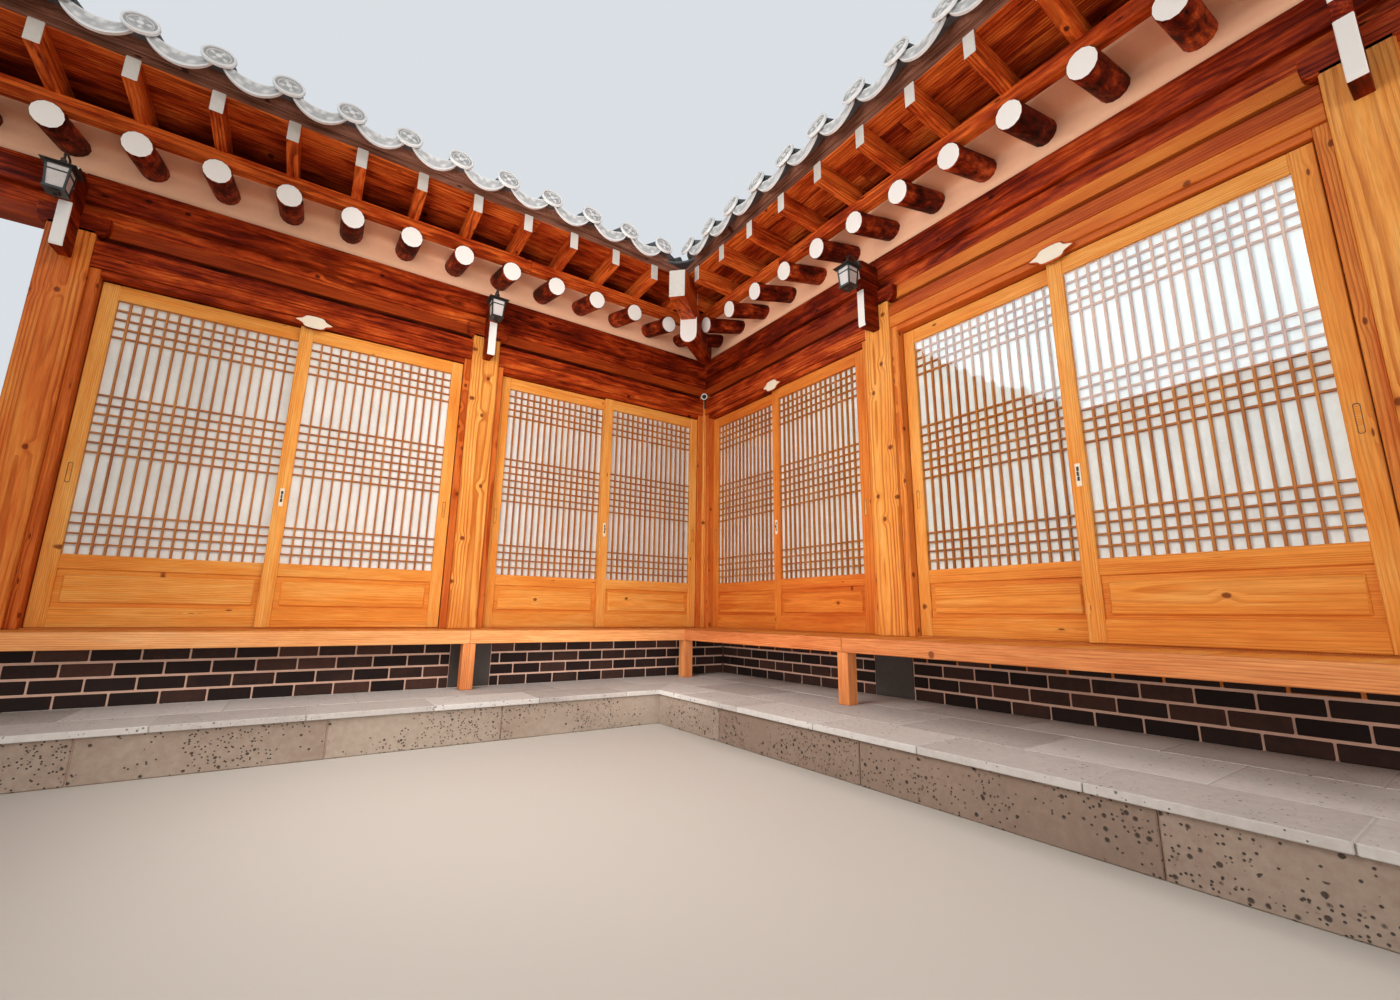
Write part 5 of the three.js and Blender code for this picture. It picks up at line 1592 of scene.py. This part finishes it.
def makeBricks():
    dice = random.Random(23)
    bricks, mortar, blocks = parts = [newPart(dice) for k in range(3)]
    b = brick
    for wing in wings:
        turnParts(parts, wing, mitre=False)
        block, depth = b[wing["name"]]["block"], b[wing["name"]]["depth"]
        face, first = b["ends"][::-1] if wing["swap"] else b["ends"]
        last = wallEnd(wing)
        for course in range(b["courses"]):
            z = b["low"] + course * b["course"]
            x = first - b["joint"] - (b["pitch"] / 2 if course % 2 else 0.0)
            ends = [(x + 0.0045, first)] if course % 2 else []
            while x > last:
                ends.append((max(last, x - b["length"]), x))
                x -= b["pitch"]
            for x0, x1 in ends:
                for span in clipped(x0, x1, block):
                    out = dice.uniform(-0.0015, 0.0015)
                    board(bricks, span, (face + out, face + depth), (z, z + b["height"]), "x", 0.0035,
                          0.45 + dice.uniform(-0.3, 0.35))
        top = b["low"] + b["courses"] * b["course"] - 0.012
        board(mortar, inside((last, first), 0.003), (face + 0.006, face + depth + 0.001),
              (b["low"] - hair, top), "x", 0.001)
        board(blocks, block, (face - 0.003, face + depth + 0.004), (b["low"], b["blockTop"]), "z", 0.005,
              0.4)
        if not wing["swap"]:   # behind the bricks of the back wing
            board(mortar, (last, -0.05), (face + 0.08, stone["wallFace"]), (b["low"], b["backingTop"]), "x",
                  0.001)
    finishPart(bricks, "veranda_bricks", "brick", "brick")
    finishPart(mortar, "veranda_mortar", "mortar", "mortar")
    finishPart(blocks, "post_foot_blocks", "stone", "concrete")


# Street walls, gables and windows

wall = {
    "plaster": 0.042, "rail": 0.058, "beam": 0.075, "bar": 0.05, "sillTop": 0.61, "headLow": 2.82,
    "windowHalf": 0.42, "frame": 0.06, "thick": 0.05, "upright": 0.11,
    "lowRail": (1.39, 1.5), "highRail": (2.15, 2.26), "rebate": 0.004, "gableRail": (3.15, 3.26),
}
wall["light"] = (wall["lowRail"][1], wall["highRail"][0])
wall["lowField"] = (wall["sillTop"], wall["lowRail"][0])
wall["highField"] = (wall["highRail"][1], wall["headLow"])


def windowCentres(wing):
    return [(house["innerPost"] + house["postCentre"]) / 2, (house["innerPost"] + wing["end"]) / 2]


def panel(part, x, z):
    # a plaster field, gently crowned at its edges
    board(part, inside(x, -wall["rebate"]), about(house["postCentre"], wall["plaster"]),
          inside(z, -wall["rebate"]), "x", 0.009, 0.5 + part["dice"].uniform(-0.08, 0.08))


def makeOuterWall(wing):
    dice = random.Random(wing["seed"] + 900)
    timber, plaster = newPart(dice, wing, True), newPart(dice, wing, True)
    w, half, centre, corner = wall, house["postHalf"], house["postCentre"], house["outerPost"]
    low, high = house["footingTop"] + hair, house["postTop"]
    posts = [wing["end"], house["innerPost"], centre]
    for x in posts:
        board(timber, about(x, half), about(centre, half), (low, high), "z", 0.006,
              0.4 + dice.uniform(-0.05, 0.08), pith=(x + 0.02, centre + 0.02))
    board(timber, about(corner, half), about(centre, half), (low, high), "z", 0.006, 0.42,
          pith=(corner - 0.02, centre + 0.03))
    rail = about(centre, w["rail"])
    stops = posts + [corner]
    for n, ends in enumerate(zip(stops, stops[1:])):
        x = inside(ends, half)
        board(timber, x, about(centre, w["beam"]), (low, w["sillTop"]), "x", 0.005, 0.5)
        board(timber, x, about(centre, w["beam"]), (w["headLow"], high), "x", 0.005, 0.52)
        for z in (w["lowRail"], w["highRail"]):
            board(timber, x, rail, z, "x", 0.004, 0.45 + dice.uniform(-0.05, 0.1))
        if n < 2:
            at = windowCentres(wing)[1 - n]
            edges = about(at, w["windowHalf"] + w["upright"])
            for x0 in (edges[0], at + w["windowHalf"]):
                board(timber, (x0, x0 + w["upright"]), rail, w["light"], "z", 0.004, 0.4)
            for z in (w["lowField"], w["highField"]):
                panel(plaster, x, z)
                board(timber, about(sum(ends) / 2, w["bar"]), rail, z, "z", 0.004, 0.45)
            panel(plaster, (x[0], edges[0]), w["light"])
            panel(plaster, (edges[1], x[1]), w["light"])
        else:
            for z in (w["lowField"], w["light"], w["highField"]):
                panel(plaster, x, z)
                for middle in thirds(ends):
                    board(timber, about(middle, w["bar"]), rail, z, "z", 0.004, 0.45)
    name = f"{wing['name']}_outer_wall"
    finishPart(timber, f"{name}_timber", "pine", "pine", name)
    finishPart(plaster, f"{name}_plaster", "plaster", "wallPlaster")
    for number, at in enumerate(windowCentres(wing), 1):
        makeWindow(wing, number, at)


def makeWindow(wing, number, at):
    dice = random.Random(wing["seed"] + 950 + number)
    wood, paper = newPart(dice, wing, True), newPart(dice, wing, True)
    f, centre, bar = wall["frame"], house["postCentre"], wall["bar"] / 2
    y = about(centre, wall["thick"] / 2)
    x, z = about(at, wall["windowHalf"] - hair), inside(wall["light"], hair)
    inX, inZ = inside(x, f), inside(z, f)
    for x0 in (x[0], inX[1]):
        board(wood, (x0, x0 + f), y, z, "z", 0.003, 0.35)
    for z0 in (z[0], inZ[1]):
        board(wood, inX, inside(y, 0.001), (z0, z0 + f), "x", 0.003, 0.38)
    board(wood, about(at, bar), inside(y, 0.002), inZ, "z", 0.003, 0.36)
    columns, rows = 6, 9
    for x0, x1 in ((inX[0], at - bar), (at + bar, inX[1])):
        for k in range(1, columns):
            board(wood, about(x0 + (x1 - x0) * k / columns, 0.005), (centre - 0.018, centre - 0.004), inZ,
                  "z", 0.0012, 0.42 + dice.uniform(-0.06, 0.08))
        for k in range(1, rows):
            middle = inZ[0] + (inZ[1] - inZ[0]) * k / rows
            board(wood, (x0, x1), (centre - 0.017, centre - 0.004), about(middle, 0.0045), "x", 0.0012,
                  0.44 + dice.uniform(-0.06, 0.08))
    board(paper, inX, about(centre, 0.004), inZ, "z", 0.0004)
    name = f"{wing['name']}_window_{number}"
    finishPart(wood, f"{name}_timber", "pine", "pine", name)
    finishPart(paper, f"{name}_paper", "paper", "paper")


def makeEndWall(wing):
    dice = random.Random(wing["seed"] + 1000)
    timber, plaster = newPart(dice, wing, mitre=False), newPart(dice, wing, mitre=False)
    end, ridge, span, w = wing["end"], house["ridge"], house["span"], wall
    low, rail = house["footingTop"] + hair, about(end, w["rail"])
    y0, y1 = inside((house["postBack"], span - house["postBack"]), hair)
    inner, ridgeBeam = slope["rafterInnerY"] + 0.025, ridge - 0.09
    under = [(y, rafterZ(y) - slope["rafterRadius"] * 1.036 - 0.002) for y in (y0, inner)]
    half = [(y0, low), *under, (inner, roofUnder(inner) - 2 * hair),
            (ridgeBeam - hair, roofUnder(ridgeBeam - hair) - 2 * hair),
            (ridgeBeam - hair, roofUnder(ridgeBeam) - 0.2093)]
    outline = half + [(span - y, z) for y, z in half[::-1]]
    slab(plaster, outline, "x", about(end, w["plaster"]), "y", 0.001, 0.5)
    for z, deep, reach in (((low, w["sillTop"]), w["beam"], 0.0), (w["lowRail"], w["rail"], 0.0),
                           (w["highRail"], w["rail"], 0.0), ((w["headLow"], 2.965), w["beam"], 0.0),
                           (w["gableRail"], 0.07, -0.05)):
        board(timber, about(end, deep), inside((y0, y1), -reach), z, "y", 0.005,
              0.48 + dice.uniform(-0.05, 0.1))
    for y in thirds((y0, y1)):
        board(timber, about(end, 0.068), about(y, 0.07), (w["sillTop"], w["headLow"]), "z", 0.005,
              0.4 + dice.uniform(-0.04, 0.06), pith=(end + 0.02, y))
    foot = w["gableRail"][1]
    board(timber, rail, about(ridge, 0.06), (foot, roofUnder(ridge - 0.06) - 0.212), "z", 0.004, 0.45)
    for y in about(ridge, 0.62):
        top = roofUnder(y - 0.05 if y < ridge else y + 0.05) - 0.02
        board(timber, rail, about(y, w["bar"]), (foot, top), "z", 0.004, 0.45)
    name = f"{wing['name']}_end_wall"
    finishPart(timber, f"{name}_timber", "pine", "pine")
    finishPart(plaster, f"{name}_plaster", "plaster", "wallPlaster", name)


barge = {"board": (-0.0403, -0.0003), "depth": 0.33, "nail": 0.013, "nailPitch": 0.42, "nailDrop": 0.17}


def makeBarge(wing):
    dice = random.Random(wing["seed"] + 1100)
    part = newPart(dice, wing, mitre=False)
    gable, eave, ridge = wing["gable"], house["eave"], house["ridge"]
    for outer in (False, True):
        top, bottom = [], []
        for y in np.linspace(eave + 0.03, ridge - 0.002, 15):
            depth = barge["depth"] * (0.45 + 0.55 * min(1.0, (y - eave) / 0.5))
            top.append((overRidge(y, outer), roofTop(y) - 0.025))
            bottom.append((overRidge(y, outer), roofTop(y) - depth))
        slab(part, bottom + top[::-1], "x", [gable + x for x in barge["board"]], "y", 0.004,
             0.45 + dice.uniform(-0.1, 0.1), pith=(gable + 0.1, 4.0 + dice.uniform(-0.3, 0.3)))
    for outer in (False, True):
        for y in overRidge(np.arange(eave + 0.35, ridge - 0.1, barge["nailPitch"]), outer):
            z = roofTop(y) - barge["nailDrop"]
            rings = [[(gable - out, y + r * math.cos(a), z + r * math.sin(a)) for a in circle(8)]
                     for out, r in ((0.039, barge["nail"]), (0.045, barge["nail"]), (0.049, 0.007))]
            loft(part, rings, 0.5, 1)
    name = f"{wing['name']}_barge_board"
    finishPart(part, f"{name}_timber", "weathered_board", "weatheredBoard iron", name)


# Corner post, lanterns, name plates, the round device in the corner

def makeCorner():
    part = newPart(random.Random(31))
    front, jambY = (house["postFront"], house["postBack"]), door["jambY"]
    low, high = house["floorTop"] + hair, house["jambTop"] - hair
    edge = (front[0] - door["jamb"], front[0])
    board(part, front, front, (low, house["postTop"]), "z", 0.006, 0.3, pith=(0.08, postFacts["pithAt"]))
    board(part, edge, jambY, (low, high), "z", 0.004, 0.55)
    board(part, jambY, edge, (low, high), "z", 0.004, 0.55)
    finishPart(part, "corner_post_timber", "pine", "post", "corner_post")


lantern = {"half": 0.048, "height": 0.14, "drop": 0.265, "y": -0.3453, "bar": 0.0045, "back": -0.2403,
           "taper": 0.8,     # the body narrows downwards
           "armRadius": 0.006}


def makeLantern(wing, x, name):
    dice, f = random.Random(41), lantern
    iron, glow = newPart(dice, wing, mitre=False), newPart(dice, wing, mitre=False)
    y, half, foot, back = f["y"], f["half"], f["half"] * f["taper"], f["back"]
    low = postFacts["headTop"] - f["drop"]
    high = low + f["height"]

    def squares(part, levels):
        # a stack of squares, each given by its height and half its width
        rings = [[(x + u * r, y + v * r, z) for u, v in squareCorners] for z, r in levels]
        loft(part, rings, smooth=False)

    for u, v in squareCorners:
        rings = [[(x + u * r + a * f["bar"], y + v * r + b * f["bar"], z) for a, b in squareCorners]
                 for z, r in ((low, foot), (high, half))]
        loft(iron, rings, 0.4, smooth=False)
    for z, r, tall in ((low - 0.006, foot + 0.008, 0.014), (high - 0.006, half + 0.008, 0.012),
                       (low + f["height"] * 0.72, half * 0.955 + 0.004, 0.006)):
        squares(iron, ((z, r), (z + tall, r)))
    squares(glow, ((low + 0.004, foot - 0.001), (high - 0.004, half - 0.001)))
    squares(iron, [(high + up, r) for up, r in (
        (0.004, half + 0.024), (0.008, half + 0.026), (0.022, half * 0.62), (0.036, half * 0.36),
        (0.05, half * 0.2), (0.062, half * 0.24), (0.072, 0.004))])
    squares(iron, [(low - down, r) for down, r in (
        (0.006, 0.02), (0.014, 0.016), (0.02, 0.006), (0.03, 0.009), (0.036, 0.002))])
    points = np.array([(y, high + 0.066), (y, high + 0.1), (y + 0.03, high + 0.118),
                       (y + 0.07, high + 0.112), (back - 0.004, high + 0.07)])
    arm, last = [], len(points) - 1
    for n, (py, pz) in enumerate(points):
        dy, dz = points[min(last, n + 1)] - points[max(0, n - 1)]
        size, r = math.hypot(dy, dz), f["armRadius"]
        arm.append([(x + r * math.cos(a), py - r * math.sin(a) * dz / size, pz + r * math.sin(a) * dy / size)
                    for a in circle(8)])
    loft(iron, arm)
    board(iron, about(x, 0.025), (back - 0.008, back), (high + 0.02, high + 0.1), "z", 0.002)
    finishPart(iron, f"{name}_frame", "iron", "iron", name)
    finishPart(glow, f"{name}_frame_panes", "glass", "pane")


# (wing, middle, width) of each plate, a wavy lozenge with pointed ends
plates = [(wings[0], -3.4, 0.22), (wings[1], -3.415, 0.225), (wings[1], -1.086, 0.213)]
plateFacts = {"z": 2.716, "halfHigh": 0.056, "power": 1.35, "wave": 0.085, "rim": 0.007}


def makePlates():
    dice, f = random.Random(51), plateFacts
    for number, (wing, middle, wide) in enumerate(plates, 1):
        part = newPart(dice, wing, mitre=False)
        outline = []
        for a in circle(40):
            r = 1 / (abs(math.cos(a)) ** f["power"] + abs(math.sin(a)) ** f["power"]) ** (1 / f["power"])
            r *= 1 + f["wave"] * math.cos(6 * a)
            outline.append((middle + wide / 2 * r * math.cos(a), f["z"] + f["halfHigh"] * r * math.sin(a)))
        slab(part, outline, "y", (-0.044, -0.0325), "x", 0.002, 0.3, 1)
        slab(part, insetOutline(outline, f["rim"]), "y", (-0.048, -0.0435), "x", 0.0015, 0.75)
        finishPart(part, f"door_plate_{number}", "white_paint", "ivory stained")


def makeDevice():
    # a round fitting with a pale ring, on a short rod in the inner corner
    part = newPart()
    centre, facing = np.array([-0.062, -0.075, 2.925]), np.array([-1, -1, -0.25])
    facing = facing / np.linalg.norm(facing)
    u = np.cross([0, 0, 1], facing)
    u /= np.linalg.norm(u)
    v = np.cross(facing, u)
    shell = ((-0.02, 0.03), (0.0, 0.034), (0.006, 0.032))
    paleRing = ((0.004, 0.033), (0.011, 0.032), (0.011, 0.024), (0.004, 0.022))
    eye = ((0.002, 0.02), (0.012, 0.016), (0.017, 0.007))
    for profile, tone, slot in ((shell, 0.5, 0), (paleRing, 0.6, 1), (eye, 0.3, 0)):
        rings = [[centre + facing * out + (u * math.cos(a) + v * math.sin(a)) * r for a in circle(16)]
                 for out, r in profile]
        loft(part, rings, tone, slot, smooth=slot == 0)
    loft(part, [[(-0.05 + 0.005 * math.cos(a), -0.062 + 0.005 * math.sin(a), z) for a in circle(8)]
                for z in (2.8, 2.9)])
    finishPart(part, "corner_device", "iron", "iron whiteMetal")


# Putting the house together

for wing in wings:
    name = wing["name"]
    for number, zone in enumerate(doorZones(wing), 1):
        for inFront in (True, False):
            makeLeaf(wing, number, zone, wing["atCorner"] == inFront, inFront)
        makeLintel(wing, number, zone)
    makePost(wing, house["innerPost"], (1, -1), f"{name}_post", 0.3)
    # the end post's tone carries painted shade on the back wing
    makePost(wing, wing["end"], (1,), f"{name}_end_post", wing["endTone"])
    print(name, "doors and posts made")
    for outer in (False, True):
        makePurlin(wing, outer)
        makeRafters(wing, outer)
        makeTiles(wing, outer)
    makeRoofBed(wing)
    makeRidges(wing)
    print(name, "eaves and roof made")
    makeMaru(wing)
    makeOuterWall(wing)
    makeEndWall(wing)
    makeBarge(wing)
    print(name, "veranda and walls made")
    makeLantern(wing, house["innerPost"] - 0.02, f"{name}_lantern")
makeLantern(wings[0], wings[0]["end"], "back_end_lantern")
makeHip()
makeValley()
makeDiagonals()
makeTerrace()
makeRisers()
makeBricks()
makeCorner()
makePlates()
makeDevice()


# Floor, light and camera

stageFacts = {"half": 30.0, "z": -0.001, "colour": (0.62, 0.58, 0.53), "sky": (1.0, 0.99, 0.97),
              "skyStrength": 0.4, "backdrop": (0.7, 0.74, 0.78)}


def makeStage():
    half, base = stageFacts["half"], stageFacts["colour"]
    mesh = bpy.data.meshes.new("floor")
    mesh.from_pydata([(x * half, y * half, stageFacts["z"]) for x, y in squareCorners], [], [(0, 1, 2, 3)])
    floor = bpy.data.objects.new("floor", mesh)
    bpy.context.scene.collection.objects.link(floor)
    look, tree, shader = newLook("studioFloor", 0.9, 0.2)
    shade = noise(tree, worldPoint(tree), 0.6, 2.0)
    colour = ramp(tree, shade, [tuple(c * 0.97 for c in base), base], (0.3, 0.7))
    tree.links.new(colour, shader.inputs["Base Color"])
    mesh.materials.append(look)


def makeWorld():
    world = bpy.data.worlds.new("sky")
    world.use_nodes = True
    tree = world.node_tree
    back = tree.nodes["Background"]
    back.inputs["Color"].default_value = (*stageFacts["sky"], 1)
    back.inputs["Strength"].default_value = stageFacts["skyStrength"]
    shown = put(tree, "Background", {"Color": (*stageFacts["backdrop"], 1)})
    seen = put(tree, "LightPath").outputs["Is Camera Ray"]
    joined = put(tree, "MixShader", {0: seen, 1: back.outputs[0], 2: shown.outputs[0]})
    tree.links.new(joined.outputs[0], tree.nodes["World Output"].inputs["Surface"])
    bpy.context.scene.world = world


lampColour = (1.0, 0.97, 0.93)
lamps = [       # (name, place, aim, size, power)
    ("key", (2.0, -14.0, 9.0), (-2.5, 0.0, 0.5), (5.0, 4.0), 560),
    ("backBounce", (-3.0, -11.0, 0.8), (-1.5, 0.0, 3.2), (9.0, 1.5), 270),
    ("sideBounce", (-11.0, -3.0, 0.8), (0.0, -1.5, 3.2), (9.0, 1.5), 130),
    ("sideFill", (-3.6, -2.4, 2.3), (0.0, -2.0, 1.5), (1.6, 1.4), 75),
    ("cornerBounce", (-1.9, -1.9, 0.6), (-0.6, -0.6, 3.2), (1.2, 1.2), 16),
    ("rear", (11.0, 11.0, 9.0), (1.5, 1.5, 2.0), (6.0, 4.0), 1100),
]
skyPanels = [   # what the glass of the side wing mirrors: (name, place, size, roll)
    ("skyNear", (-8.0, -3.3, 5.9), (5.9, 2.9), 0.0),
    ("skyFar", (-8.0, 0.9, 7.4), (5.0, 3.6), 0.54),
]
skyRadiance = 6.0
skyColour = (0.64, 0.88, 1.0)


def addLamp(name, size, power, colour):
    data = bpy.data.lights.new(name, "AREA")
    data.shape = "RECTANGLE"
    data.size, data.size_y = size
    data.energy = power
    data.color = colour
    lamp = bpy.data.objects.new(name, data)
    lamp.visible_camera = False
    bpy.context.scene.collection.objects.link(lamp)
    return lamp


def makeLamps():
    for name, place, aim, size, power in lamps:
        lamp = addLamp(name, size, power, lampColour)
        lamp.visible_glossy = lamp.visible_transmission = False
        lamp.location = place
        way = Vector(aim) - Vector(place)
        lamp.rotation_euler = way.to_track_quat("-Z", "Y").to_euler()
    facing = Vector((1, 0, 0)).to_track_quat("-Z", "Y").to_matrix().to_4x4()
    for name, place, size, roll in skyPanels:
        lamp = addLamp(name, size, skyRadiance * math.pi * size[0] * size[1], skyColour)
        lamp.visible_diffuse = False
        lamp.matrix_world = Matrix.Translation(place) @ (Matrix.Rotation(roll, 4, "X") @ facing)


photoCamera = {
    "right": (0.8242686534, -0.5660718504, 0.0119936281),
    "down": (0.1203753003, 0.1545038067, -0.9806316132),
    "forward": (0.5532548907, 0.8097476359, 0.1954937137),
    "at": (-3.2602, -4.7, 0.72), "lens": 14.841, "sensor": 36.0,
}


def makeCamera():
    data = bpy.data.cameras.new("photoView")
    data.sensor_width, data.lens = photoCamera["sensor"], photoCamera["lens"]
    data.sensor_fit = "HORIZONTAL"
    data.clip_start, data.clip_end = 0.05, 200
    camera = bpy.data.objects.new("photoView", data)
    right, down, forward = [Vector(photoCamera[way]) for way in ("right", "down", "forward")]
    turn = Matrix((right, -down, -forward)).transposed()
    camera.matrix_world = Matrix.Translation(photoCamera["at"]) @ turn.to_4x4()
    bpy.context.scene.collection.objects.link(camera)
    bpy.context.scene.camera = camera


makeStage()
bpy.context.scene.cycles.caustics_reflective = False
makeWorld()
makeLamps()
makeCamera()
bpy.context.scene.view_settings.view_transform = "Standard"
bpy.context.scene.view_settings.look = "None"
